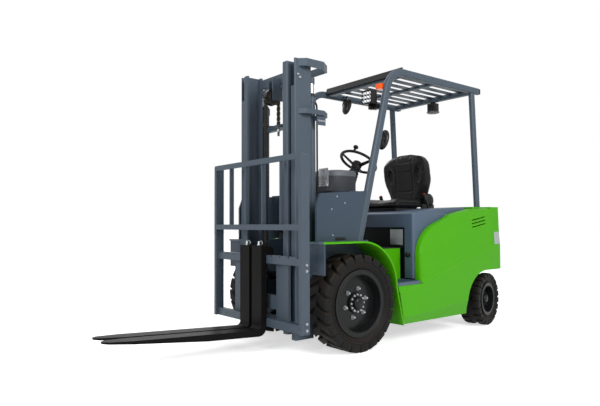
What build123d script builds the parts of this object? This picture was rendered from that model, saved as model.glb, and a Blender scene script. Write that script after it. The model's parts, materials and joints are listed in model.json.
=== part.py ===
"""A three-tonne electric counterbalance truck with a two-stage mast, as separate jointed pieces.

Sizes are millimetres. X points forward, Y to the driver's left and Z up from the ground.
Pieces are drawn with X = 0 at the front axle; on saving they are shifted so that X = 0
is the middle of the overall length.
"""
import math
import os
from dataclasses import dataclass

from build123d import *

# Overall
fork_tip_ahead = 1642
wheelbase = 1600
rear_overhang = 450
tail_behind = wheelbase + rear_overhang
body_half_width = 600
running_gap = 5
seat_gap = 0.3
sheet = 12

# Wheels and axles
front_wheel_y = 502
rear_wheel_y = 480
kingpin_y = 345
parked_steer_deg = 10
axle_tube_radius = 75
spindle_radius = 30
spindle_gap = 0.3
axle_stub_radius = 40
axle_stub_reach = 60
kingpin_radius = 20
yoke_half_width = 34
yoke_thickness = 28
knuckle_half_height = 48
steer_beam_half_width = 55
steer_beam_half_length = 285
steer_beam_half_height = 62
steer_pivot_radius = 46
steer_pivot_reach = 130
gear_housing_half_width = 110
gear_housing_radius = 135
motor_radius = 95
motor_x = -120
motor_rise = 20
motor_y0 = 125
motor_y1 = 250
hub_flange_width = 16
hub_flange_step = 22
tyre_sides = 22

# Mast
mast_half_width = 352
mast_top = 2090
mast_bottom = 95
outer_front = 391
outer_depth = 150
outer_flange_width = 47
rail_flange = 18
rail_web = 12
notch_depth = 195
inner_front = 410
inner_depth = 148
inner_half_width = 282
inner_flange_width = 50
inner_top = 2080
inner_bottom = 130
roller_gap = 0.3
roller_width = 30
tie_height = 55
tie_half_width = 395
tie_rear = 70
tie_plate = 14
mid_tie_top = 1731
mid_tie_height = 36
mid_bracket_drop = 105
foot_plate_height = 110
cross_plate_bottom = 540
cross_plate_top = 660
lift_x = 195
lift_y = 292
lift_barrel_radius = 32
lift_rod_radius = 22
lift_bore_gap = 0.3
barrel_bottom = 110
barrel_top = 1840
rod_bottom = 330
rod_top = 1941
rod_head_height = 45
pivot_ring_wall = 25
pivot_ring_y0 = 328
pivot_gap = 0.3

# Chain
chain_width = 40
chain_thickness = 14
chain_pitch = 38
chain_wheel_radius = 53
chain_wheel_x = 337
chain_wheel_z = 1869
chain_pin_radius = 14
chain_waist = 3
anchor_z = 1669
carriage_anchor_z = 360

# Carriage, backrest and forks
bar_front = 490
bar_thickness = 40
bar_half_length = 537
carriage_bottom = 178
carriage_height = 508
bar_height = 58
bar_notch_pitch = 100
bar_notch_width = 12
bar_notch_depth = 12
carriage_plate_outer = 346
carriage_plate_thickness = 20
roller_plate_inner = 203
roller_plate_outer = 225
carriage_roller_low = 270
carriage_roller_high = 590
backrest_front = 512
backrest_depth = 71
backrest_bar = 30
backrest_top = 1383
backrest_mid_top = 906
backrest_rail_height = 40
backrest_rail_thickness = 14
backrest_slat_thickness = 12
backrest_slat_depth = 36
backrest_slats = (-330, -110, 110, 330)
fork_width = 122
fork_thickness = 45
fork_gap_half = 17
fork_rise_deg = 3
fork_heel_top = 156
fork_tip_thickness = 12
fork_top = 753
fork_heel_radius = 62
fork_tip_width = 76
fork_tip_taper = 180
hook_drop = 16
hook_thickness = 22

# Tilt cylinders
tilt_y = 200
tilt_pin_x = 185
tilt_anchor_x = -330
tilt_z = 600
tilt_barrel_radius = 38
tilt_rod_radius = 20
tilt_barrel_front = 45
tilt_rod_back = -200
tilt_pin_radius = 14
tilt_eye_radius = 32
tilt_eye_gap = 3.5
tilt_eye_width = 36
ear_thickness = 14

# Body
fender_top = 783
fender_front = 346
fender_flat_end = -30
fender_radius = 353
fender_bottom_x = -452
fender_bottom_z = 140
fender_inner_y = 384
fender_stand_out = 6
fender_outer_y = body_half_width + fender_stand_out
inner_wall_bottom = 500
flap_inset = 6
floor_half_width = fender_inner_y - sheet - 2 * seat_gap
flap_bottom = 560
inner_wall_rear = -300
skirt_bottom = 140
step_front = -402
step_rear = -670
step_top = 465
step_corner_radius = 20
step_inner_y = floor_half_width + sheet + 2 * seat_gap
step_notch = 28
panel_depth = 75
panel_inner_y = body_half_width - panel_depth
arch_front_x = -wheelbase + 314
arch_mid_x = -wheelbase + 255
arch_mid_z = 390
arch_top_x = -wheelbase + 40
arch_top = 495
seam_x = -wheelbase - 62
ridge_front_z = 450
ridge_rear_z = 702
panel_top_inset = 14
ridge_step = 7
skirt_band_front = 192
skirt_band_rear = 256
skirt_inset = 26
panel_top = 1045
panel_edge_radius = 48
vent_count = 3
vent_pitch = 30
vent_height = 10
hood_front = -673
hood_rear = -wheelbase + 150
hood_half_width = 520
hood_edge_radius = 22
hood_top = 1000
hood_wall = 15
hood_lip_bottom = 878
hood_column_width = 92
hood_column_bottom = 470
hood_column_depth = 60
hood_side_bottom = 620
hinge_x = hood_rear
hinge_z = 990
hinge_radius = 12
hinge_y0 = 260
hinge_y1 = 380
floor_top = 712
floor_front = -110
toe_top_x = -20
toe_top_z = 859
entry_top = 708
battery_half_width = 380
battery_front = -732
battery_top = 800
frame_half_width = 412
frame_rear = -wheelbase + 338
battery_play = 10
battery_rear = frame_rear + sheet + battery_play
frame_beam_inner = 262
frame_beam_outer = 300
outrigger_low = 190
outrigger_high = 230
outrigger_width = 50
dash_half_width = 500
dash_front = 322
dash_chamfer_x = 290
dash_chamfer_z = 1040
dash_top_front = 1121
dash_top_rear = 1154
counterweight_front = -wheelbase + 130
counterweight_top = 1055
tail_half_width = 400
tail_taper = 45
tow_bore_radius = 16
tow_pin_x = -tail_behind + 42
tow_slot_front = -tail_behind + 85
tow_half_width = 60
tow_slot_low = 590
tow_slot_high = 660
tow_ledge = 730
tow_recess_top = 930
tow_bore_low = 540

# Overhead guard
guard_y = 478
guard_tube_x = 60
guard_tube_y = 40
guard_corner = 14
leg_foot_x = -82
leg_foot_z = 702
leg_lean_deg = 15.1
guard_top = 2150
guard_bend_radius = 190
guard_rear = -wheelbase - 50
post_foot_x = -wheelbase - 12
post_top_x = post_foot_x + 56
post_half_depth = 28
roof_front = -640
roof_mid = -1100
roof_bar = 50
roof_beam_drop = 52
roof_thickness = 26
slat_count = 7
slat_width = 62
visor_height = 46
work_lamp_drop = 257
work_lamp_size = 100
work_lamp_depth = 60
work_lamp_ahead = 58
lamp_bracket_height = 38
turn_lamp_drop = 145
turn_lamp_height = 43
turn_lamp_depth = 48
turn_lamp_width = 50
lamp_gap = 12
rear_lamp_half_width = 17
rear_lamp_half_height = 24
rear_lamp_depth = 22
beacon_radius = 40
beacon_drop = 60
stalk_radius = 6
mirror_depth = 22
mirror_half_height = 68
mirror_half_width = 46
mirror_y = 412
mirror_left_x = -432
mirror_left_z = 1572
mirror_right_x = -820
mirror_right_z = 2030

# Cab fittings
wheel_x = -520
wheel_y = 60
wheel_z = 1432
column_lean_deg = 32
column_radius = 30
column_start = 75.3
column_end = 845
lever_count = 3
lever_first_y = -110
lever_pitch = 45
lever_x = -262
lever_z = 1275
lever_length = 150
lever_radius = 6
lever_lean_deg = 25
cowl_half_width = 235
cowl_edge_radius = 28
cowl_front = -30
cowl_base = 1150
cowl_top = 1336
bulkhead_rear = -20
bulkhead_front = -8
shelf_rear = -150
shelf_thickness = 20
steering_radius = 155
steering_rim = 13
knob_radius = 21
knob_height = 26
knob_stem = 30
seat_half_width = 245
seat_front = -795
seat_rear = -1200
seat_rail_top = 1032
cushion_top = 1128
seat_back_top = 1545
seat_back_foot = 165
seat_back_crown = 130
seat_rail_y = 170
seat_rail_width = 40
seat_pan = 12
seat_pan_half_width = 210
seat_edge_radius = 22
pedal_lean_deg = 40
pedal_length = 110
pedal_thickness = 14


@dataclass(frozen=True)
class WheelSize:
    """Sizes of a tyre and the rim inside it."""

    radius: float
    half_width: float
    shoulder: float
    lug_root: float
    bead: float
    bead_half: float
    lip: float
    rim_inner: float
    disc_inner: float
    disc_outer: float
    hub_radius: float
    hub_face: float
    cap_radius: float
    cap_face: float
    drum_radius: float
    drum_face: float
    lug_count: int
    lug_inner: float
    lug_outer: float
    lug_sweep: float
    lug_start: float


front_wheel = WheelSize(345, 110, 321, 300, 232, 86, 240, 198, 14, 32, 76, 62, 45, 76, 118, -62,
                        18, 30, 46, 46, -14)
rear_wheel = WheelSize(231, 95, 218, 200, 139, 76, 146, 112, 12, 26, 62, 44, 40, 58, 62, -40,
                       22, 34, 34, 0, 34)


def block(x0, x1, y0, y1, z0, z1):
    """Box between two corners."""
    centre = Pos((x0 + x1) / 2, (y0 + y1) / 2, (z0 + z1) / 2)
    return centre * Box(abs(x1 - x0), abs(y1 - y0), abs(z1 - z0))


def rod_x(y, z, x0, x1, radius):
    """Round bar along X."""
    return Pos((x0 + x1) / 2, y, z) * Rot(0, 90, 0) * Cylinder(radius, abs(x1 - x0))


def rod_y(x, z, y0, y1, radius):
    """Round bar along Y."""
    return Pos(x, (y0 + y1) / 2, z) * Rot(90, 0, 0) * Cylinder(radius, abs(y1 - y0))


def rod_z(x, y, z0, z1, radius):
    """Round bar along Z."""
    return Pos(x, y, (z0 + z1) / 2) * Cylinder(radius, abs(z1 - z0))


def side_view(face, y0, y1):
    """Solid from a face drawn in X and Z, between two Y planes."""
    return extrude(Pos(0, y0, 0) * (Plane.XZ * face), amount=y1 - y0, dir=(0, 1, 0))


def plan_view(face, z0, z1):
    """Solid from a face drawn in X and Y, between two heights."""
    return extrude(Pos(0, 0, z0) * face, amount=z1 - z0, dir=(0, 0, 1))


def polygon(*corners):
    """Face with straight edges, kept where its corners are."""
    return Polygon(*corners, align=None)


def outline(*edges):
    """Face inside a closed run of edges."""
    return make_face(Curve() + list(edges))


def other_side(shape):
    """The same piece on the other side of the truck."""
    return mirror(shape, about=Plane.XZ)


def both_sides(shape):
    """The piece and its mirror image."""
    return shape + other_side(shape)


def save(name, shape):
    """Writes one node, shifted so that the origin is under the middle of the truck."""
    os.makedirs("parts", exist_ok=True)
    shift = (tail_behind - fork_tip_ahead) / 2
    export_step(Pos(shift, 0, 0) * shape, f"parts/{name}.step")


def tyre(size):
    """Lugged tyre about the Y axis."""
    side = size.half_width - 6
    sections = []
    for y, radius in ((-size.bead_half, size.bead + 8), (-side, size.shoulder), (side, size.shoulder),
                      (size.bead_half, size.bead + 8)):
        sections.append(tyre_section(radius, y))
    body = loft(sections, ruled=True)
    bore = tyre_section(size.bead + seat_gap, size.bead_half + 1)
    body -= extrude(bore, amount=2 * size.bead_half + 2, dir=(0, -1, 0))
    reach = (size.lug_outer / 2) + size.lug_sweep
    top = math.sqrt(size.radius ** 2 - reach ** 2)
    lug_face = polygon((-size.lug_inner / 2, size.lug_start),
                       (size.lug_inner / 2, size.lug_start),
                       (size.lug_sweep + size.lug_outer / 2, size.half_width),
                       (size.lug_sweep - size.lug_outer / 2, size.half_width))
    lug = plan_view(lug_face, size.lug_root, top)
    step = 360 / size.lug_count
    lugs = []
    for number in range(size.lug_count):
        lugs.append(Rot(0, number * step, 0) * lug)
        lugs.append(Rot(0, (number + 0.5) * step, 0) * other_side(lug))
    return body + lugs


def tyre_section(radius, y):
    """Many-sided section across a wheel's axis; the radius is to the middle of its sides."""
    corner = radius / math.cos(math.pi / tyre_sides)
    return Plane((0, y, 0), x_dir=(1, 0, 0), z_dir=(0, 1, 0)) * RegularPolygon(corner, tyre_sides)


def rim(size, bore_radius, bore_depth):
    """Dished steel rim with hub, lips and cap; its outer face looks along +Y."""
    lip_out = size.bead_half + 10
    lip_in = size.bead_half + 2.6
    profile = polygon((0, size.drum_face), (size.drum_radius, size.drum_face),
                      (size.drum_radius, size.disc_inner), (size.rim_inner, size.disc_inner - 6),
                      (size.rim_inner, -lip_out), (size.lip, -lip_out), (size.lip, -lip_in),
                      (size.bead, -lip_in), (size.bead, lip_in), (size.lip, lip_in),
                      (size.lip, lip_out), (size.rim_inner + 6, lip_out),
                      (size.rim_inner, size.disc_outer), (size.hub_radius, size.disc_outer + 10),
                      (size.hub_radius - 4, size.hub_face), (size.cap_radius, size.hub_face),
                      (size.cap_radius - 3, size.cap_face), (0, size.cap_face))
    body = revolve(profile, Axis.Y)
    return body - rod_y(0, 0, size.drum_face, size.drum_face + bore_depth, bore_radius)


def at_wheel(shape, x, y, z):
    """Puts a wheel piece on the left side, or turned round on the right side."""
    if y < 0:
        return Pos(x, y, z) * Rot(0, 0, 180) * shape
    return Pos(x, y, z) * shape


def steered(shape, side):
    """Turns a piece about the kingpin by the angle at which the truck is parked."""
    pin = Axis((-wheelbase, side * kingpin_y, 0), (0, 0, 1))
    return shape.rotate(pin, parked_steer_deg)


def save_wheels():
    """Four wheels and the two steering knuckles."""
    front_tyre = tyre(front_wheel)
    front_rim = rim(front_wheel, axle_stub_radius + spindle_gap, axle_stub_reach)
    rear_tyre = tyre(rear_wheel)
    spindle_reach = rear_wheel.disc_inner - rear_wheel.drum_face
    rear_rim = rim(rear_wheel, spindle_radius + spindle_gap, spindle_reach + spindle_gap)
    for name, side in (("left", 1), ("right", -1)):
        save(f"tyre_front_{name}", at_wheel(front_tyre, 0, side * front_wheel_y, front_wheel.radius))
        save(f"rim_front_{name}", at_wheel(front_rim, 0, side * front_wheel_y, front_wheel.radius))
        place = (-wheelbase, side * rear_wheel_y, rear_wheel.radius)
        save(f"tyre_rear_{name}", steered(at_wheel(rear_tyre, *place), side))
        save(f"rim_rear_{name}", steered(at_wheel(rear_rim, *place), side))
        save(f"knuckle_{name}", steered(knuckle(spindle_reach, side), side))


def knuckle(spindle_reach, side):
    """Steering knuckle: post on the kingpin with its stub axle."""
    z = rear_wheel.radius
    low = z - knuckle_half_height
    high = z + knuckle_half_height
    post = rod_z(-wheelbase, kingpin_y, low, high, yoke_half_width)
    hub_start = rear_wheel_y + rear_wheel.drum_face
    end = hub_start + spindle_reach
    stub = rod_y(-wheelbase, z, kingpin_y, end, spindle_radius)
    body = post + stub - rod_z(-wheelbase, kingpin_y, low, high, kingpin_radius + seat_gap)
    return body if side > 0 else other_side(body)


def drive_axle():
    """Axle tube, gear housing and two motor drums."""
    z = front_wheel.radius
    end = front_wheel_y + front_wheel.drum_face - running_gap
    tube = rod_y(0, z, -end, end, axle_tube_radius)
    housing = rod_y(0, z, -gear_housing_half_width, gear_housing_half_width, gear_housing_radius)
    motor = rod_y(motor_x, z + motor_rise, motor_y0, motor_y1, motor_radius)
    flange = rod_y(0, z, end - hub_flange_width, end, axle_tube_radius + hub_flange_step)
    stub = rod_y(0, z, end, end + axle_stub_reach, axle_stub_radius)
    return tube + housing + both_sides(motor + flange + stub)


def steer_axle():
    """Box-section beam with forked ends that carry the kingpins."""
    z = rear_wheel.radius
    beam = block(-wheelbase - steer_beam_half_width, -wheelbase + steer_beam_half_width,
                 -steer_beam_half_length, steer_beam_half_length,
                 z - steer_beam_half_height, z + steer_beam_half_height)
    gap = knuckle_half_height + 1
    top = z + gap
    arm = block(-wheelbase - yoke_half_width, -wheelbase + yoke_half_width,
                steer_beam_half_length - 60, kingpin_y, top, top + yoke_thickness)
    arm += rod_z(-wheelbase, kingpin_y, top, top + yoke_thickness, yoke_half_width)
    lower = Pos(0, 0, -2 * gap - yoke_thickness) * arm
    pin = rod_z(-wheelbase, kingpin_y, z - gap - yoke_thickness, top + yoke_thickness, kingpin_radius)
    pivot = rod_x(0, z, -wheelbase - steer_pivot_reach, -wheelbase + steer_pivot_reach, steer_pivot_radius)
    return beam + both_sides(arm + lower + pin) + pivot


def outer_rail():
    """Left outer channel, open inward, with the front flange cut back at the top."""
    rear = outer_front - outer_depth
    inner = mast_half_width - outer_flange_width
    rail = block(rear, outer_front, inner, mast_half_width, mast_bottom, mast_top)
    rail -= block(rear + rail_flange, outer_front - rail_flange, inner - 1,
                  mast_half_width - rail_web, mast_bottom - 1, mast_top + 1)
    rail -= block(outer_front - rail_flange - 1, outer_front + 1, inner - 1,
                  mast_half_width - rail_web, mast_top - notch_depth, mast_top + 1)
    corners = rail.edges().filter_by(Axis.Z).group_by(Axis.Y)[-1]
    return fillet(corners, 7)


def inner_rail():
    """Left inner channel, open inward, with a guide roller that runs in the outer channel."""
    rear = inner_front - inner_depth
    inner = inner_half_width - inner_flange_width
    rail = block(rear, inner_front, inner, inner_half_width, inner_bottom, inner_top)
    rail -= block(rear + rail_flange, inner_front - rail_flange, inner - 1,
                  inner_half_width - rail_web, inner_bottom - 1, inner_top + 1)
    corners = rail.edges().filter_by(Axis.Z).group_by(Axis.Y)[-1]
    rail = fillet(corners, 7)
    radius = outer_depth / 2 - rail_flange - roller_gap
    x = outer_front - outer_depth / 2
    z = inner_bottom + radius + 12
    outer_web = mast_half_width - rail_web
    roller = rod_y(x, z, outer_web - running_gap - roller_width, outer_web - running_gap, radius)
    stub = rod_y(x, z, inner_half_width - 1, outer_web - running_gap, radius / 3)
    return rail + stub + roller


def tie_band(z0, z1):
    """Plate bent round behind the lift cylinders from one outer rail to the other."""
    front = outer_front - 30
    chamfer = tie_half_width - mast_half_width
    outside = polygon((front, mast_half_width), (front - chamfer, tie_half_width),
                      (tie_rear + 2 * chamfer, tie_half_width), (tie_rear, tie_half_width - 62),
                      (tie_rear, 0), (front, 0))
    inside = polygon((front - chamfer, mast_half_width), (front - chamfer, tie_half_width - tie_plate),
                     (tie_rear + 2 * chamfer + 5, tie_half_width - tie_plate),
                     (tie_rear + tie_plate, tie_half_width - 68),
                     (tie_rear + tie_plate, -1), (front + 1, -1), (front + 1, mast_half_width))
    return both_sides(plan_view(outside - inside, z0, z1))


def outer_ties():
    """Cross members of the outer mast, the cylinder brackets, the pivots and the chain anchor bar."""
    rear = outer_front - outer_depth
    top = tie_band(mast_top - tie_height, mast_top)
    middle = tie_band(mid_tie_top - mid_tie_height, mid_tie_top)
    bracket = block(tie_rear + 60, rear - 30, tie_half_width - tie_plate - 10, tie_half_width - tie_plate,
                    mid_tie_top - mid_bracket_drop, mid_tie_top)
    plate = block(rear - sheet, rear, -mast_half_width, mast_half_width, cross_plate_bottom, cross_plate_top)
    foot = block(rear - sheet, rear, -mast_half_width, mast_half_width, mast_bottom, mast_bottom + foot_plate_height)
    return top + middle + both_sides(bracket) + plate + foot + both_sides(pivot_arm() + tilt_ears())


def pivot_arm():
    """Arm from the foot of the left rail to the ring round the axle tube."""
    rear = outer_front - outer_depth
    z = front_wheel.radius
    bore = axle_tube_radius + pivot_gap
    ring_radius = bore + pivot_ring_wall
    web = side_view(polygon((rear, mast_bottom + 20), (rear, z + 120), (0, z + ring_radius),
                            (0, z - ring_radius)), pivot_ring_y0, mast_half_width)
    ring = rod_y(0, z, pivot_ring_y0, mast_half_width, ring_radius)
    return web + ring - rod_y(0, z, pivot_ring_y0 - 1, mast_half_width + 1, bore)


def tilt_ears():
    """Two ears and the pin that the left tilt rod's eye turns on."""
    rear = outer_front - outer_depth - sheet
    half = tilt_eye_width / 2 + 2
    outline_face = polygon((rear, tilt_z - 45), (rear, tilt_z + 45), (tilt_pin_x, tilt_z + 26),
                           (tilt_pin_x - 26, tilt_z), (tilt_pin_x, tilt_z - 26))
    ear = side_view(outline_face, tilt_y + half, tilt_y + half + ear_thickness)
    twin = side_view(outline_face, tilt_y - half - ear_thickness, tilt_y - half)
    pin = rod_y(tilt_pin_x, tilt_z, tilt_y - half - ear_thickness, tilt_y + half + ear_thickness,
                tilt_pin_radius)
    return ear + twin + pin


def lift_barrels():
    """Two hollow lift barrels and the chain anchor bar between them."""
    bore = lift_rod_radius + lift_bore_gap
    barrel = rod_z(lift_x, lift_y, barrel_bottom, barrel_top, lift_barrel_radius)
    barrel += rod_z(lift_x, lift_y, barrel_top - 40, barrel_top, lift_barrel_radius + 6)
    barrel -= rod_z(lift_x, lift_y, barrel_bottom + 20, barrel_top, bore)
    saddle = block(lift_x, outer_front - outer_depth, lift_y - 20, lift_y + 20, mid_tie_top - 30, mid_tie_top)
    saddle -= rod_z(lift_x, lift_y, mid_tie_top - 40, mid_tie_top + 1, bore)
    bar = block(lift_x - 20, lift_x + 20, -lift_y, lift_y, anchor_z - 20, anchor_z + 20)
    bar -= both_sides(rod_z(lift_x, lift_y, anchor_z - 30, anchor_z + 30, bore))
    rear_strand = chain_wheel_x - chain_wheel_radius - chain_thickness / 2
    lug = block(lift_x, rear_strand + 16, -chain_width / 2 - 8, chain_width / 2 + 8, anchor_z - 20, anchor_z)
    stud = rod_z(rear_strand, 0, anchor_z - 85, anchor_z - 20, 9)
    return both_sides(barrel + saddle) + bar + lug + stud


def inner_ties():
    """Cross members of the inner mast and the heads that the lift rods push."""
    rear = inner_front - inner_depth
    half = inner_half_width - inner_flange_width
    top = block(rear, rear + 16, -half, half, 1990, inner_top - 20)
    bar = block(rear, rear + 16, -half, half, 1945, 1975)
    foot = block(rear - 14, rear, -inner_half_width, inner_half_width, inner_bottom, inner_bottom + 80)
    bracket_z = chain_wheel_z
    cheek = block(rear, chain_wheel_x + 16, chain_width / 2 + 4, chain_width / 2 + 14,
                  bracket_z - 22, inner_top - 60)
    pin = rod_y(chain_wheel_x, chain_wheel_z, -chain_width / 2 - 14, chain_width / 2 + 14, chain_pin_radius)
    head = block(lift_x - lift_rod_radius, rear, half, lift_y, rod_top, rod_top + rod_head_height)
    head += rod_z(lift_x, lift_y, rod_top, rod_top + rod_head_height, lift_rod_radius + 6)
    return top + bar + foot + both_sides(cheek) + pin + both_sides(head)


def chain_wheel():
    """Flanged chain wheel with the stretch of chain that lies round its top."""
    half = chain_width / 2
    hub = rod_y(chain_wheel_x, chain_wheel_z, -half - 3, half + 3, chain_wheel_radius)
    hub += both_sides(rod_y(chain_wheel_x, chain_wheel_z, half + 0.5, half + 3, chain_wheel_radius + 5))
    wrap = rod_y(chain_wheel_x, chain_wheel_z, -half, half, chain_wheel_radius + chain_thickness)
    reach = chain_wheel_radius + chain_thickness + 1
    wrap -= block(chain_wheel_x - reach, chain_wheel_x + reach, -half - 1, half + 1,
                  chain_wheel_z - reach, chain_wheel_z)
    bore = rod_y(chain_wheel_x, chain_wheel_z, -half - 4, half + 4, chain_pin_radius + seat_gap)
    return hub + wrap - bore


def chain_strand(x, z0, z1):
    """Leaf chain hanging straight, with a waist at every link."""
    count = max(1, round((z1 - z0) / chain_pitch))
    pitch = (z1 - z0) / count
    half = chain_thickness / 2
    waist = half - chain_waist
    right = []
    left = []
    for number in range(count):
        z = z0 + number * pitch
        right += [(x + waist, z), (x + half, z + pitch / 2)]
        left += [(x - waist, z), (x - half, z + pitch / 2)]
    right.append((x + waist, z1))
    left.append((x - waist, z1))
    return side_view(polygon(*right, *reversed(left)), -chain_width / 2, chain_width / 2)


def carriage():
    """Fork carriage: two notched bars, front plates, roller plates and rollers."""
    top = carriage_bottom + carriage_height
    back = bar_front - bar_thickness
    upper = block(back, bar_front, -bar_half_length, bar_half_length, top - bar_height, top)
    for number in range(-5, 6):
        y = number * bar_notch_pitch
        upper -= block(back - 1, bar_front + 1, y - bar_notch_width / 2, y + bar_notch_width / 2,
                       top - bar_notch_depth, top + 1)
    lower = block(back, bar_front, -bar_half_length, bar_half_length, carriage_bottom,
                  carriage_bottom + bar_height)
    hook_room = hook_drop + running_gap
    plate = block(back - carriage_plate_thickness, back, roller_plate_inner, carriage_plate_outer,
                  carriage_bottom + hook_room, top - hook_room)
    x = inner_front - inner_depth / 2
    radius = inner_depth / 2 - rail_flange - roller_gap
    wing = block(x - radius + 8, back - carriage_plate_thickness, roller_plate_inner, roller_plate_outer,
                 carriage_roller_low - radius, carriage_roller_high + radius)
    web = inner_half_width - rail_web
    rollers = []
    for z in (carriage_roller_low, carriage_roller_high):
        rollers.append(rod_y(x, z, roller_plate_outer, web - running_gap, radius))
    side = plate + wing + rollers
    front_strand = chain_wheel_x + chain_wheel_radius + chain_thickness / 2
    anchor = block(front_strand - 16, back - carriage_plate_thickness, -chain_width / 2 - 8,
                   chain_width / 2 + 8, carriage_anchor_z - 24, carriage_anchor_z)
    beam = block(back - carriage_plate_thickness, back, -roller_plate_inner, roller_plate_inner,
                 carriage_anchor_z - 60, carriage_anchor_z + 40)
    return upper + lower + both_sides(side) + beam + anchor


def load_backrest():
    """Guard frame above the forks: two uprights, two rails and the bars between them."""
    back = backrest_front - backrest_depth
    inner = bar_half_length
    upright = block(back, backrest_front, inner, inner + backrest_bar, carriage_bottom, backrest_top)
    top_edges = upright.edges().filter_by(Axis.X).group_by(Axis.Z)[-1]
    upright = fillet(top_edges.sort_by(Axis.Y)[-1], 18)
    rails = []
    for top in (backrest_top, backrest_mid_top):
        rails.append(block(backrest_front - backrest_rail_thickness, backrest_front, -inner, inner,
                           top - backrest_rail_height, top))
    slats = []
    for y in backrest_slats:
        slats.append(block(backrest_front - backrest_slat_depth, backrest_front - 2,
                           y - backrest_slat_thickness / 2, y + backrest_slat_thickness / 2,
                           backrest_mid_top - 4, backrest_top - 4))
    return both_sides(upright) + rails + slats


def fork():
    """Left fork: forged L with tapered blade, rounded heel and two hooks."""
    back = bar_front + seat_gap
    front = back + fork_thickness
    rise = math.tan(math.radians(fork_rise_deg))
    tip = fork_tip_ahead
    tip_top = fork_heel_top + (tip - front) * rise
    taper_x = front + 420
    taper_low = fork_heel_top + (taper_x - front) * rise - fork_thickness
    heel_low = fork_heel_top - fork_thickness
    profile = polygon((back, fork_top), (front, fork_top), (front, fork_heel_top), (tip, tip_top),
                      (tip, tip_top - fork_tip_thickness), (taper_x, taper_low), (back, heel_low - 2))
    y0 = fork_gap_half
    y1 = fork_gap_half + fork_width
    body = side_view(profile, y0, y1)
    heel = body.edges().filter_by(Axis.Y).group_by(Axis.X)[0].sort_by(Axis.Z)[0]
    body = fillet(heel, fork_heel_radius)
    inside = body.edges().filter_by(Axis.Y)
    corner = [edge for edge in inside if abs(edge.center().X - front) < 1
              and abs(edge.center().Z - fork_heel_top) < 1]
    body = fillet(corner, fork_heel_radius / 2)
    middle = (y0 + y1) / 2
    plan = polygon((back - 1, y0), (tip - fork_tip_taper, y0), (tip - 30, middle - fork_tip_width / 2),
                   (tip, middle - fork_tip_width / 2 + 24), (tip, middle + fork_tip_width / 2 - 24),
                   (tip - 30, middle + fork_tip_width / 2), (tip - fork_tip_taper, y1), (back - 1, y1))
    body &= plan_view(plan, 0, fork_top + 1)
    top = carriage_bottom + carriage_height
    bar_back = bar_front - bar_thickness - seat_gap
    hook_back = bar_back - hook_thickness
    seat_z = top + seat_gap
    hook = side_view(polygon((back, fork_top), (back, seat_z), (bar_back, seat_z), (bar_back, top - hook_drop),
                             (hook_back, top - hook_drop), (hook_back, top + 40), (bar_back, fork_top - 6)), y0, y1)
    low = carriage_bottom - seat_gap
    foot = side_view(polygon((back, low), (back, low - 30), (hook_back, low - 30), (hook_back, low + hook_drop),
                             (bar_back, low + hook_drop), (bar_back, low)), y0, y1)
    return body + hook + foot


def tilt_barrel():
    """Left tilt barrel: hollow tube with the rear eye."""
    tube = rod_x(tilt_y, tilt_z, tilt_anchor_x + 45, tilt_barrel_front, tilt_barrel_radius)
    tube += rod_x(tilt_y, tilt_z, tilt_barrel_front - 30, tilt_barrel_front, tilt_barrel_radius + 4)
    tube += block(tilt_anchor_x, tilt_anchor_x + 60, tilt_y - tilt_eye_width / 2,
                  tilt_y + tilt_eye_width / 2, tilt_z - 24, tilt_z + 24)
    tube += rod_y(tilt_anchor_x, tilt_z, tilt_y - tilt_eye_width / 2, tilt_y + tilt_eye_width / 2,
                  tilt_eye_radius)
    tube -= rod_x(tilt_y, tilt_z, tilt_anchor_x + 70, tilt_barrel_front + 1, tilt_rod_radius + lift_bore_gap)
    return tube - rod_y(tilt_anchor_x, tilt_z, tilt_y - 60, tilt_y + 60, tilt_pin_radius + seat_gap)


def tilt_rod():
    """Left tilt rod with its eye, open enough for the linkage to drift."""
    half = tilt_eye_width / 2
    rod = rod_x(tilt_y, tilt_z, tilt_rod_back, tilt_pin_x - tilt_eye_radius + 6, tilt_rod_radius)
    rod += rod_y(tilt_pin_x, tilt_z, tilt_y - half, tilt_y + half, tilt_eye_radius)
    return rod - rod_y(tilt_pin_x, tilt_z, tilt_y - half - 1, tilt_y + half + 1,
                       tilt_pin_radius + tilt_eye_gap)


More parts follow.
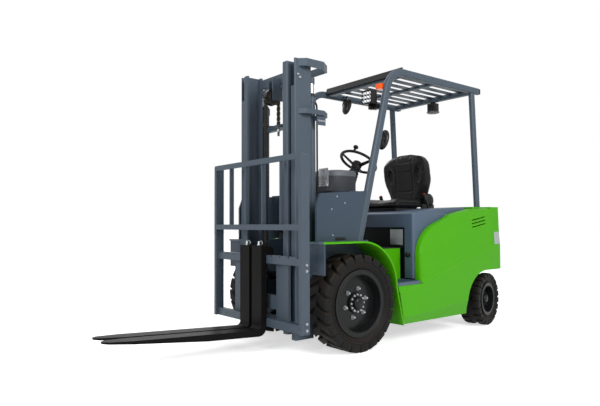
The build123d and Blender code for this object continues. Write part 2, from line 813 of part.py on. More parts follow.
def frame():
    """Chassis: battery trough, front beams on the axle and the rear beam above the steer axle."""
    wall = sheet
    trough = block(frame_rear, battery_front + 20, -frame_half_width, frame_half_width,
                   skirt_bottom, battery_top - 30)
    trough -= block(frame_rear + wall, battery_front + 20 - wall, -frame_half_width + wall,
                    frame_half_width - wall, skirt_bottom + wall, battery_top)
    axle_top = front_wheel.radius + axle_tube_radius
    beam = block(battery_front + 20, 80, frame_beam_inner, frame_beam_outer, axle_top, axle_top + 140)
    hanger = block(tilt_anchor_x - 40, tilt_anchor_x + 40, tilt_y + tilt_eye_width / 2 + 2,
                   frame_beam_outer, axle_top + 20, tilt_z + 40)
    inner = block(tilt_anchor_x - 40, tilt_anchor_x + 40, 130, tilt_y - tilt_eye_width / 2 - 2,
                  axle_top + 60, tilt_z + 40)
    rung = block(tilt_anchor_x - 90, tilt_anchor_x - 40, -frame_beam_outer, frame_beam_outer,
                 axle_top + 20, tilt_z + 40)
    pin = rod_y(tilt_anchor_x, tilt_z, 130, frame_beam_outer, tilt_pin_radius)
    steer_z = rear_wheel.radius + steer_beam_half_height
    saddle = block(-wheelbase - 120, frame_rear, -120, 120, steer_z + running_gap, arch_top - seat_gap)
    cheek = block(-wheelbase + steer_beam_half_width + 10, -wheelbase + 120, -60, 60, 150, steer_z + 20)
    cheek -= rod_x(0, rear_wheel.radius, -wheelbase, -wheelbase + 200, steer_pivot_radius + seat_gap)
    side = beam + hanger + inner + pin
    for x in (battery_front - outrigger_width, battery_rear + outrigger_width):
        side += block(x - outrigger_width / 2, x + outrigger_width / 2, frame_half_width,
                      panel_inner_y - seat_gap, outrigger_low, outrigger_high)
    return trough + both_sides(side) + rung + saddle + cheek


def ridge_cut():
    """Wedge that leans the left side inward above the ridge line."""
    reach = 400
    front_x = step_rear
    rear_x = seam_x
    slope = (ridge_rear_z - ridge_front_z) / (rear_x - front_x)
    far_x = -tail_behind - 50
    near_x = front_x + 300
    lines = []
    for x in (near_x, far_x):
        ridge_z = ridge_front_z + slope * (x - front_x)
        lean = panel_top_inset / (panel_top - ridge_rear_z)
        top_y = body_half_width - ridge_step - reach * lean * 1.5
        lines.append(Polyline((x, body_half_width, ridge_z), (x, body_half_width - ridge_step, ridge_z + ridge_step),
                              (x, top_y, ridge_z + reach * 1.5),
                              (x, body_half_width + 200, ridge_z + reach * 1.5),
                              (x, body_half_width + 200, ridge_z), close=True))
    return loft([make_face(line) for line in lines])


def side_panel():
    """Left side panel: skirt, wheel arch and the swept upper edge."""
    arch_rear = outline_arch()
    curve_end_x = seam_x + 283
    curve = Spline((step_rear - 12, 560), (step_rear - 24, 720), (step_rear - 146, 869), (step_rear - 330, 943),
                   (curve_end_x, panel_top - 14), tangents=((0, 1), (-1, 0.12)))
    start = (fender_bottom_x - 6, skirt_bottom)
    notch_z = step_top - step_notch
    edges = [Polyline((step_rear - 12, 560), (step_rear - 12, notch_z), (step_front - 6, notch_z),
                      start, (arch_front_x, skirt_bottom)),
             arch_rear,
             Polyline((arch_top_x, arch_top), (seam_x + seat_gap, arch_top), (seam_x + seat_gap, panel_top),
                      (curve_end_x, panel_top - 14)),
             curve]
    slab = side_view(outline(*edges), panel_inner_y, body_half_width)
    rims = slab.edges().filter_by_position(Axis.Y, body_half_width - 1, body_half_width + 1)
    swept = rims.filter_by(lambda edge: edge.center().Z > arch_top and abs(edge.tangent_at(0.5).X) > 0.2)
    slab = fillet(swept, panel_edge_radius)
    slab -= ridge_cut()
    slab -= skirt_cut()
    slit_front = seam_x + 281
    slit_rear = seam_x + 77
    slit_low = panel_top - 117
    slit_high = panel_top - 83
    slit_face = polygon((slit_front, slit_low), (slit_rear, slit_high),
                        (slit_rear, slit_high + vent_height), (slit_front, slit_low + vent_height))
    for number in range(vent_count):
        slab -= Pos(0, 0, -number * vent_pitch) * side_view(slit_face, panel_inner_y, body_half_width + 1)
    return slab


def skirt_cut():
    """Wedge that leans the left skirt inward below the band line."""
    slope = (skirt_band_rear - skirt_band_front) / (arch_front_x - fender_bottom_x)
    lines = []
    for x in (fender_bottom_x + 50, arch_front_x - 100):
        band_z = skirt_band_front + slope * (x - fender_bottom_x)
        low = skirt_bottom - 1
        lines.append(Polyline((x, body_half_width, band_z), (x, body_half_width - skirt_inset, low),
                              (x, body_half_width + 100, low), (x, body_half_width + 100, band_z), close=True))
    return loft([make_face(line) for line in lines])


def outline_arch():
    """Rear wheel arch, from the skirt up to the counterweight."""
    return ThreePointArc((arch_front_x, skirt_bottom), (arch_mid_x, arch_mid_z), (arch_top_x, arch_top))


def weight_plan(inset):
    """Left half of the tail weight in plan, its corner and tail drawn in by the inset."""
    side = body_half_width
    tail = -tail_behind + inset
    corner_x = seam_x - 128
    corner_y = side - 8 - inset / 4
    return outline(Polyline((counterweight_front, 0), (counterweight_front, hood_half_width),
                            (seam_x, hood_half_width), (seam_x, side), (corner_x, corner_y)),
                   ThreePointArc((corner_x, corner_y), (tail + 121, side - 95 - inset / 2),
                                 (tail + 32, tail_half_width - inset / 2)),
                   ThreePointArc((tail + 32, tail_half_width - inset / 2), (tail + 8, tail_half_width / 2), (tail, 0)),
                   Line((tail, 0), (counterweight_front, 0)))


def counterweight():
    """Cast tail weight: rounded in plan, leaning in side view, with an inner block and a tow pin bore."""
    side = body_half_width
    tail = -tail_behind
    lower = plan_view(weight_plan(0), 150, ridge_rear_z)
    upper = loft([Pos(0, 0, ridge_rear_z) * weight_plan(0), Pos(0, 0, counterweight_top + 10) * weight_plan(tail_taper)])
    body = both_sides(lower + upper)
    face = outline(Polyline((counterweight_front + 1, arch_top + 60), (counterweight_front + 1, counterweight_top),
                            (tail + 200, counterweight_top)),
                   ThreePointArc((tail + 200, counterweight_top), (tail + 115, counterweight_top - 27),
                                 (tail + 75, counterweight_top - 105)),
                   Polyline((tail + 75, counterweight_top - 105), (tail, 720), (tail, 560), (tail + 20, arch_top),
                            (counterweight_front - 10, arch_top), (counterweight_front + 1, arch_top + 60)))
    body &= side_view(face, -side - 5, side + 5)
    cut = ridge_cut()
    body -= cut
    body -= other_side(cut)
    keel = block(tail + 70, tail + 290, -130, 130, 300, arch_top + 10)
    body += fillet(keel.edges().filter_by(Axis.X).group_by(Axis.Z)[0], 30)
    leaf = block(counterweight_front - 1, hinge_x - hinge_radius - seat_gap, hinge_y0, hinge_y1,
                 hinge_z - hinge_radius, hinge_z + hinge_radius)
    body += both_sides(leaf)
    for low, high in ((tow_slot_low, tow_slot_high), (tow_ledge, tow_recess_top)):
        body -= block(tail - 1, tow_slot_front, -tow_half_width, tow_half_width, low, high)
    return body - rod_z(tow_pin_x, 0, tow_bore_low, tow_ledge, tow_bore_radius)


def fender():
    """Left front fender: flat top, quarter round and a leaning rear leg."""
    centre = (fender_flat_end, fender_top - fender_radius)
    outer = fender_radius
    inner = fender_radius - sheet
    mid = math.radians(135)
    edges = [Line((fender_front, fender_top), (fender_flat_end, fender_top)),
             ThreePointArc((fender_flat_end, fender_top),
                           (centre[0] + outer * math.cos(mid), centre[1] + outer * math.sin(mid)),
                           (centre[0] - outer, centre[1])),
             Polyline((centre[0] - outer, centre[1]), (fender_bottom_x, fender_bottom_z),
                      (fender_bottom_x + sheet, fender_bottom_z), (centre[0] - inner, centre[1])),
             ThreePointArc((centre[0] - inner, centre[1]),
                           (centre[0] + inner * math.cos(mid), centre[1] + inner * math.sin(mid)),
                           (fender_flat_end, fender_top - sheet)),
             Polyline((fender_flat_end, fender_top - sheet), (fender_front, fender_top - sheet),
                      (fender_front, fender_top))]
    return side_view(outline(*edges), fender_inner_y, fender_outer_y)


def inner_fenders():
    """Plates between wheel and mast, with the flap in front of each tyre."""
    front = fender_front - flap_inset
    wall = block(inner_wall_rear, front, fender_inner_y - sheet - seat_gap, fender_inner_y - seat_gap,
                 inner_wall_bottom, fender_top)
    flap = block(front - sheet, front, fender_inner_y - seat_gap, fender_outer_y - 8,
                 flap_bottom, fender_top - sheet - seat_gap)
    return both_sides(wall + flap)


def steps():
    """Entry steps with raised tread bars."""
    tread = block(step_rear, step_front, step_inner_y, body_half_width - 4,
                  step_top - step_notch + seat_gap, step_top - 4)
    tread = fillet(tread.edges().filter_by(Axis.Z).group_by(Axis.Y)[-1], step_corner_radius)
    for number in range(7):
        x = step_rear + 30 + number * 35
        tread += block(x, x + 14, step_inner_y + 14, body_half_width - 14, step_top - 5, step_top)
    return both_sides(tread)


def floor_plate():
    """Floor and toe board."""
    floor = block(battery_front + 20 + seat_gap, floor_front, -floor_half_width, floor_half_width,
                  floor_top - sheet, floor_top)
    toe = side_view(polygon((floor_front, floor_top), (floor_front, floor_top - sheet),
                            (toe_top_x, toe_top_z - 16), (toe_top_x, toe_top_z)),
                    -floor_half_width, floor_half_width)
    return floor + toe


def under_toe_board():
    """Everything below the upper face of the floor and the toe board."""
    deep = floor_top - 200
    face = polygon((floor_front - 400, deep), (floor_front - 400, floor_top), (floor_front, floor_top),
                   (toe_top_x, toe_top_z), (toe_top_x + 200, toe_top_z), (toe_top_x + 200, deep))
    return side_view(face, -floor_half_width, floor_half_width)


def entry_panels():
    """Green walls beside the floor, above the steps."""
    y0 = floor_half_width + seat_gap
    face = polygon((hood_front + 6, step_top - 20), (hood_front + 6, entry_top),
                   (inner_wall_rear - seat_gap, entry_top), (inner_wall_rear - seat_gap, step_top - 20))
    return both_sides(side_view(face, y0, y0 + sheet))


def dash():
    """Cowl sides and the front plate behind the mast."""
    y0 = dash_half_width - 16
    bottom = fender_top + seat_gap
    lean = math.tan(math.radians(leg_lean_deg))
    rear_low = leg_foot_x + guard_tube_x / 2 / math.cos(math.radians(leg_lean_deg)) + seat_gap
    rear_low += (leg_foot_z - bottom) * lean
    rear_high = rear_low - (dash_top_rear - bottom) * lean
    face = polygon((dash_front, bottom), (dash_front, dash_chamfer_z), (dash_chamfer_x, dash_top_front),
                   (rear_high, dash_top_rear), (rear_low, bottom))
    side = side_view(face, y0, dash_half_width)
    shelf_top = cowl_base - seat_gap
    shelf_low = shelf_top - shelf_thickness
    front = block(bulkhead_rear, bulkhead_front, -y0, y0, toe_top_z + seat_gap, shelf_low + 5)
    shelf = side_view(polygon((bulkhead_front, shelf_low - 12), (bulkhead_front, shelf_top),
                              (shelf_rear, shelf_top), (shelf_rear, shelf_low)), -y0, y0)
    return both_sides(side) + front + shelf


def instrument_cowl():
    """Moulded instrument housing with a raised display hood."""
    brow_x = cowl_front - 80
    face = outline(Polyline((cowl_front, cowl_base), (cowl_front, cowl_top - 96)),
                   ThreePointArc((cowl_front, cowl_top - 96), (cowl_front - 18, cowl_top - 26), (brow_x, cowl_top)),
                   Polyline((brow_x, cowl_top), (brow_x - 80, cowl_top - 6), (cowl_front - 300, cowl_base + 40),
                            (cowl_front - 320, cowl_base), (cowl_front, cowl_base)))
    shell = side_view(face, -cowl_half_width, cowl_half_width)
    rims = shell.edges().filter_by(lambda edge: abs(edge.tangent_at(0.5).Y) < 0.1)
    shell = fillet(rims.filter_by(lambda edge: edge.center().Z > cowl_base + 25), cowl_edge_radius)
    shell -= Pos(cowl_front - 225, 0, cowl_top - 61) * Rot(0, 45, 0) * Box(16, 2 * cowl_half_width - 90, 110)
    return shell - column_tube(column_radius + seat_gap)


def column_tube(radius):
    """Round bar from the wheel's hub down to the toe board."""
    middle = (column_start + column_end) / 2
    return steering_place() * Pos(0, 0, -middle) * Cylinder(radius, column_end - column_start)


def steering_column():
    """Column tube, cut off where it stands on the toe board."""
    return column_tube(column_radius) - under_toe_board()


def steering_place():
    """Where the steering wheel's centre and axis are."""
    return Pos(wheel_x, wheel_y, wheel_z) * Rot(0, -column_lean_deg, 0)


def steering_wheel():
    """Rim, three spokes, hub and spinner knob."""
    ring = Torus(steering_radius, steering_rim)
    hub = Pos(0, 0, -40) * Cylinder(42, 70)
    wheel = ring + hub
    for angle in (90, 210, 330):
        spoke = Rot(0, 0, angle) * Pos(steering_radius / 2, 0, -18) * Rot(0, -9, 0) * Box(steering_radius, 30, 10)
        wheel += spoke
    stem = Pos(0, steering_radius, knob_stem / 2) * Cylinder(knob_radius / 2, knob_stem)
    head = Pos(0, steering_radius, knob_stem + knob_height / 2) * Cylinder(knob_radius, knob_height)
    knob = stem + fillet(head.edges().filter_by(GeomType.CIRCLE), knob_height * 0.4)
    return steering_place() * (wheel + knob)


def levers():
    """Hydraulic levers on the right of the cowl."""
    stick = Cylinder(lever_radius, lever_length)
    knob = Pos(0, 0, lever_length / 2) * Cone(lever_radius + 4, lever_radius + 11, 36)
    lever = Rot(0, -lever_lean_deg, 0) * (stick + knob)
    row = []
    for number in range(lever_count):
        row.append(Pos(lever_x, lever_first_y - number * lever_pitch, lever_z) * lever)
    return Part() + row - instrument_cowl() - dash()


def pedals():
    """Accelerator, brake and direction pedals on the toe board."""
    row = []
    for y, width in ((-190, 80), (-70, 90)):
        pad = Rot(0, pedal_lean_deg, 0) * Box(pedal_thickness, width, pedal_length)
        pad = Pos(floor_front - 40, y, floor_top + 95) * pad
        arm = Pos(floor_front + 5, y, floor_top + 72) * Rot(0, pedal_lean_deg + 80, 0) * Cylinder(9, pedal_length)
        row.append(pad + arm)
    return Part() + row - under_toe_board()


def leg_x(z):
    """Centre of the front leg at a height below its bend."""
    return leg_foot_x - (z - leg_foot_z) * math.tan(math.radians(leg_lean_deg))


def guard_path():
    """Centre line of the left front leg, its bend and the roof rail."""
    rail_z = guard_top - guard_tube_x / 2
    return FilletPolyline((leg_foot_x, guard_y, leg_foot_z), (leg_x(rail_z), guard_y, rail_z),
                          (guard_rear, guard_y, rail_z), radius=guard_bend_radius)


def guard_leg():
    """Left front leg and roof rail, one bent tube."""
    lean = math.radians(leg_lean_deg)
    along = (-math.sin(lean), 0, math.cos(lean))
    plane = Plane((leg_foot_x, guard_y, leg_foot_z), x_dir=(0, 1, 0), z_dir=along)
    section = plane * RectangleRounded(guard_tube_y, guard_tube_x, guard_corner)
    radius = fender_radius + seat_gap
    under = rod_y(fender_flat_end, fender_top - fender_radius, fender_inner_y, fender_outer_y, radius)
    under += block(fender_flat_end, fender_front, fender_inner_y, fender_outer_y,
                   fender_top - fender_radius, fender_top + seat_gap)
    return sweep(section, path=guard_path()) - under


def guard_posts():
    """Two rear posts below the roof rails."""
    rail_bottom = guard_top - guard_tube_x
    half_x = post_half_depth
    low = Plane.XY.offset(counterweight_top + seat_gap)
    high = Plane.XY.offset(rail_bottom - seat_gap)
    foot = low * Pos(post_foot_x, guard_y) * RectangleRounded(2 * half_x, guard_tube_y, guard_corner)
    head = high * Pos(post_top_x, guard_y) * RectangleRounded(2 * half_x, guard_tube_y, guard_corner)
    return both_sides(loft([foot, head]))


def guard_roof():
    """Fore-and-aft roof bars between three cross members."""
    inner = guard_y - guard_tube_y / 2 - seat_gap
    z1 = guard_top - 6
    z0 = z1 - roof_thickness
    roof = block(roof_front - roof_bar, roof_front, -inner, inner, z0 - 12, z1)
    roof += block(roof_mid - roof_bar, roof_mid, -inner, inner, z0, z1)
    roof += block(guard_rear + 10, guard_rear + 10 + roof_bar, -inner, inner, guard_top - roof_beam_drop, z1)
    pitch = 2 * inner / (slat_count + 1)
    for number in range(slat_count):
        y = -inner + pitch * (number + 1)
        roof += block(guard_rear + 60, roof_front, y - slat_width / 2, y + slat_width / 2, z0 + 2, z1 - 2)
    return roof


def visor():
    """Black strip along the roof's front edge."""
    back = roof_front + seat_gap
    low = guard_top - 24
    face = polygon((back, low), (back + 30, low - 4), (back + 14, low + visor_height + 2),
                   (back, low + visor_height + 2))
    half = guard_y - guard_tube_y / 2 - seat_gap
    return side_view(face, -half, half)


def work_lamps():
    """Square lamps with their brackets on the front legs."""
    inner = guard_y - guard_tube_y / 2
    z = guard_top - work_lamp_drop
    low = z - work_lamp_size / 2 - 5
    back = leg_x(z) + work_lamp_ahead
    case = block(back, back + work_lamp_depth, inner - lamp_gap - work_lamp_size, inner - lamp_gap,
                 low, z + work_lamp_size / 2 + 5)
    bracket = block(back - 27, back + 5, inner - 60, inner - seat_gap, low - lamp_bracket_height, low)
    bracket += block(back, back + 35, inner - 72, inner - 52, low - lamp_bracket_height, low)
    return both_sides(case + bracket)


def turn_lamps():
    """Amber lamps beside the work lamps."""
    inner = guard_y - guard_tube_y / 2
    low = guard_top - turn_lamp_drop - turn_lamp_height
    back = leg_x(low) + 2
    return both_sides(block(back, back + turn_lamp_depth, inner - turn_lamp_width, inner - seat_gap,
                            low, low + turn_lamp_height))


def mirrors():
    """Oval rear-view mirrors on short stalks."""
    inner = guard_y - guard_tube_y / 2 - seat_gap
    shell = Rot(0, -90, 0) * extrude(Ellipse(mirror_half_height, mirror_half_width), amount=mirror_depth)
    left = Pos(mirror_left_x, mirror_y, mirror_left_z) * shell
    left += rod_x(inner - 6, mirror_left_z, mirror_left_x - 12, mirror_left_x + 110, stalk_radius)
    right = Pos(mirror_right_x, -mirror_y, mirror_right_z) * shell
    stalk_x = mirror_right_x - mirror_depth / 2
    stalk_z = guard_top - guard_tube_x / 2
    right += rod_y(stalk_x, stalk_z, -inner, -mirror_y + 20, stalk_radius)
    right += rod_z(stalk_x, -mirror_y, mirror_right_z, stalk_z, stalk_radius)
    return left + right


def beacon():
    """Round lamp on a bracket under the roof's rear beam."""
    low = guard_top - roof_beam_drop
    stalk = block(guard_rear + 18, guard_rear + 46, -15, 15, low - 34, low - seat_gap)
    lens = rod_x(0, low - beacon_drop, guard_rear + 8, guard_rear + 60, beacon_radius)
    return stalk + lens


def rear_lamps():
    """Small lamps at the ends of the roof rails."""
    z = guard_top - guard_tube_x / 2
    return both_sides(block(guard_rear - rear_lamp_depth, guard_rear - seat_gap, guard_y - rear_lamp_half_width,
                            guard_y + rear_lamp_half_width, z - rear_lamp_half_height, z + rear_lamp_half_height))


def battery_hood():
    """Hinged cover over the battery: top, front lip, two corner columns and side walls."""
    shell = block(hood_rear, hood_front, -hood_half_width, hood_half_width, hood_side_bottom, hood_top)
    corners = shell.edges().filter_by(Axis.X).group_by(Axis.Z)[-1]
    corners += shell.edges().filter_by(Axis.Z).group_by(Axis.X)[-1]
    corners += shell.edges().filter_by(Axis.Y).group_by(Axis.X)[-1].group_by(Axis.Z)[-1]
    shell = fillet(corners, hood_edge_radius)
    shell -= block(hood_rear - 1, hood_front - hood_wall, -hood_half_width + hood_wall,
                   hood_half_width - hood_wall, hood_side_bottom - 1, hood_top - hood_wall)
    column_inner = hood_half_width - hood_column_width
    shell -= block(hood_front - hood_wall - 1, hood_front + 1, -column_inner, column_inner,
                   hood_side_bottom - 1, hood_lip_bottom)
    column = block(hood_front - hood_column_depth, hood_front, column_inner, hood_half_width,
                   hood_column_bottom, hood_side_bottom + 20)
    column = fillet(column.edges().filter_by(Axis.Z).group_by(Axis.X)[-1].sort_by(Axis.Y)[-1], hood_edge_radius)
    column -= block(hood_front - hood_column_depth - 1, hood_front - hood_wall, column_inner - 1,
                    hood_half_width - hood_wall, hood_column_bottom - 1, hood_side_bottom + 1)
    barrel = rod_y(hinge_x, hinge_z, hinge_y0, hinge_y1, hinge_radius)
    return shell + both_sides(column + barrel)


def front_panel():
    """Recessed panel in front of the battery, below the hood's lip."""
    half = hood_half_width - hood_column_width - running_gap
    return block(battery_front + 20 + seat_gap, hood_front - hood_wall, -half, half,
                 floor_top + seat_gap, hood_lip_bottom - running_gap)


def seat():
    """Rails, cushion and back of the driver's seat."""
    rail = block(seat_rear + 40, seat_front - 30, seat_rail_y - seat_rail_width / 2,
                 seat_rail_y + seat_rail_width / 2, hood_top + seat_gap, seat_rail_top)
    pan = block(seat_rear - 60, seat_front - 20, -seat_pan_half_width, seat_pan_half_width,
                seat_rail_top, seat_rail_top + seat_pan)
    base = both_sides(rail) + pan
    low = seat_rail_top + seat_pan + seat_gap
    cushion = block(seat_rear + 60, seat_front, -seat_half_width, seat_half_width, low, cushion_top)
    cushion = fillet(cushion.edges(), seat_edge_radius)
    top = seat_back_top
    rear_high = (seat_rear - 110, top - 145)
    crown = (seat_rear + 10, top)
    front_high = (seat_rear + 50, top - 105)
    face = outline(Polyline((seat_rear + 56, low), (seat_rear - 60, low), (seat_rear - 130, top - 345), rear_high),
                   ThreePointArc(rear_high, (seat_rear - 60, top - 25), crown),
                   ThreePointArc(crown, (seat_rear + 52, top - 45), front_high),
                   Polyline(front_high, (seat_rear + 30, top - 345), (seat_rear + 56, low)))
    back = side_view(face, -seat_half_width + 5, seat_half_width - 5)
    return base, cushion, back & seat_back_outline(low)


def seat_back_outline(low):
    """Front view of the seat back: narrow foot, wide wings and a rounded top, as a bar along the truck."""
    wing = seat_half_width - 5
    middle = seat_back_top - 240
    flank = Spline((seat_back_foot, low), (wing - 22, middle - 110), (wing, middle), (wing - 20, middle + 105),
                   (seat_back_crown, seat_back_top - 22), tangents=((0.1, 1), (-1, 0.6)))
    crown = ThreePointArc((seat_back_crown, seat_back_top - 22), (seat_back_crown / 2, seat_back_top - 5),
                          (0, seat_back_top))
    half = outline(Line((0, low - 1), (seat_back_foot, low - 1)), Line((seat_back_foot, low - 1), (seat_back_foot, low)),
                   flank, crown, Line((0, seat_back_top), (0, low - 1)))
    bar = extrude(Plane.YZ * half, seat_half_width * 2, both=True)
    return Pos(seat_rear, 0, 0) * (bar + mirror(bar, Plane.XZ))


def main():
    """Builds every node and writes its file."""
    save_wheels()
    save("drive_axle", drive_axle())
    save("steer_axle", steer_axle())
    save("outer_rails", both_sides(outer_rail()))
    save("outer_ties", outer_ties())
    save("lift_barrels", lift_barrels())
    save("inner_rails", both_sides(inner_rail()))
    save("inner_ties", inner_ties())
    save("lift_rods", both_sides(rod_z(lift_x, lift_y, rod_bottom, rod_top, lift_rod_radius)))
    save("chain_wheel", chain_wheel())
    reach = chain_wheel_radius + chain_thickness / 2
    save("chain_front", chain_strand(chain_wheel_x + reach, carriage_anchor_z, chain_wheel_z))
    save("chain_rear", chain_strand(chain_wheel_x - reach, anchor_z, chain_wheel_z))
    save("carriage", carriage())
    save("load_backrest", load_backrest())
    blade = fork()
    save("fork_left", blade)
    save("fork_right", other_side(blade))
    barrel = tilt_barrel()
    rod = tilt_rod()
    save("tilt_barrel_left", barrel)
    save("tilt_barrel_right", other_side(barrel))
    save("tilt_rod_left", rod)
    save("tilt_rod_right", other_side(rod))
    save("frame", frame())
    save("battery", block(battery_rear, battery_front, -battery_half_width, battery_half_width,
                          skirt_bottom + sheet, battery_top))
    save("side_panels", both_sides(side_panel()))
    save("counterweight", counterweight())
    save("fenders", both_sides(fender()))
    save("inner_fenders", inner_fenders())
    save("steps", steps())
    save("floor_plate", floor_plate())
    save("entry_panels", entry_panels())
    save("dash", dash())
    save("instrument_cowl", instrument_cowl())
    save("steering_column", steering_column())
    save("steering_wheel", steering_wheel())
    save("controls", levers() + pedals())
    save("guard_legs", both_sides(guard_leg()))
    save("guard_posts", guard_posts())
    save("guard_roof", guard_roof())
    save("guard_visor", visor())
    save("work_lamps", work_lamps())
    save("turn_lamps", turn_lamps())
    save("mirrors", mirrors())
    save("rear_lamps", beacon() + rear_lamps())
    save("battery_hood", battery_hood())
    save("front_panel", front_panel())
    base, cushion, back = seat()
    save("seat_base", base)
    save("seat_cushion", cushion)
    save("seat_back", back)


if __name__ == "__main__":
    main()
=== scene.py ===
"""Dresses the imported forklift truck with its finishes, fittings, soft seat, light and camera."""

import json
import logging
import math
from dataclasses import dataclass
from enum import Enum

import bpy
from mathutils import Matrix, Vector

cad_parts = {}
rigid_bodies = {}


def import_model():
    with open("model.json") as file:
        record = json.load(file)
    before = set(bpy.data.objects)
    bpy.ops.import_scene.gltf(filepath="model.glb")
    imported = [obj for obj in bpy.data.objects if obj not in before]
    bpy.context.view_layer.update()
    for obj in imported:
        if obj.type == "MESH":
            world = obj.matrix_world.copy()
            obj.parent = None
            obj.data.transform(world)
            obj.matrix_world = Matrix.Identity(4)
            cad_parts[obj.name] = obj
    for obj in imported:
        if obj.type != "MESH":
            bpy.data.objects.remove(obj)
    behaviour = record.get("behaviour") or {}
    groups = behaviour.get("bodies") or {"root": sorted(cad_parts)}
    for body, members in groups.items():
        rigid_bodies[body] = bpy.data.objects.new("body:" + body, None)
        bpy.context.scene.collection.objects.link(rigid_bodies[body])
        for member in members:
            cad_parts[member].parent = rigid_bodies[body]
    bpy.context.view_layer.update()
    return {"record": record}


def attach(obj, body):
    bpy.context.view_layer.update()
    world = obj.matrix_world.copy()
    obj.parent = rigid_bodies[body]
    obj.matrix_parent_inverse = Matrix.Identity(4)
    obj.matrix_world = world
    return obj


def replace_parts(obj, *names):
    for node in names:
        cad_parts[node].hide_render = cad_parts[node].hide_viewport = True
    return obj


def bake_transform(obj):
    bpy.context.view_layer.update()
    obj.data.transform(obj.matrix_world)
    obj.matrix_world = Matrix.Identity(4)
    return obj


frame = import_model()
log = logging.getLogger("forklift")

Triple = tuple[float, float, float]
Pair = tuple[float, float]
Colour = tuple[float, float, float, float]
Level = tuple[float, float, float, float]
Piece = bpy.types.Object
Node = bpy.types.Node
Tree = bpy.types.NodeTree

# The front axle stands this far ahead of the frame's origin.
AXLE_X = 0.204
# A start for rays that look at the truck from its left.
BESIDE_Y = 0.9
HERE = Matrix.Identity(4)
MIRRORED = Matrix.Scale(-1, 4, (0, 1, 0))
# Lays a piece that stands along Z down along +Y.
OUTWARD = Matrix.Rotation(math.radians(-90), 4, "X")
# Numbers of the mix node's two colour inputs and of its colour output.
MIX_FIRST = 6
MIX_SECOND = 7
MIX_COLOUR = 2
# The wave node turns through this many radians for one unit of its scaled place.
WAVE_RADIANS = 20
DUST_PATCH_MM = 28.0
HANDLING_PATCH_MM = 70.0
GLOSS_SPREAD = (0.05, 0.07)
DRAWN_STRETCH = (1.0, 1.0, 0.04)
MERGE_DISTANCE = 0.00002
RING_FLATNESS = 0.8
STUFFING_PRESSURE = 4
STUFFING_FRAMES = 20


def at(x: float, y: float, z: float) -> Vector:
    """Point of the truck, measured in metres from the ground under the front axle."""
    return Vector((x + AXLE_X, y, z))


def turned_by(degrees: float, axis: str) -> Matrix:
    """Rotation about an axis through the origin."""
    return Matrix.Rotation(math.radians(degrees), 4, axis)


def facing(point: Vector, direction: Triple) -> Matrix:
    """Place at a point with its Z axis along a direction."""
    turn = Vector((0, 0, 1)).rotation_difference(Vector(direction))
    return Matrix.Translation(point) @ turn.to_matrix().to_4x4()


def linear(code: str) -> Colour:
    """Turns an sRGB hex value into a linear colour.

    Args:
        code: Six hex digits.

    Returns:
        Red, green, blue and alpha.
    """
    parts = [int(code[i:i + 2], 16) / 255 for i in (0, 2, 4)]
    made = [p / 12.92 if p <= 0.04045 else ((p + 0.055) / 1.055) ** 2.4 for p in parts]
    return made[0], made[1], made[2], 1.0


def add(tree: Tree, kind: str, settings: dict | None = None, links: dict | None = None) -> Node:
    """Adds one node with its settings and links.

    Args:
        tree: Node tree of a material or world.
        kind: Type name of the node.
        settings: Attribute or input (name or number) to value.
        links: Input (name or number) to (node, output name or number).

    Returns:
        The node.
    """
    node = tree.nodes.new(kind)
    for key, value in (settings or {}).items():
        if isinstance(key, str) and hasattr(node, key):
            setattr(node, key, value)
        else:
            node.inputs[key].default_value = value
    for key, (source, output) in (links or {}).items():
        tree.links.new(source.outputs[output], node.inputs[key])
    return node


class Surface(Enum):
    """How a surface was made, which sets the relief that it shows."""

    SPRAYED = "sprayed"
    CAST = "cast"
    MOULDED = "moulded"
    RIBBED = "ribbed"
    DRAWN = "drawn"


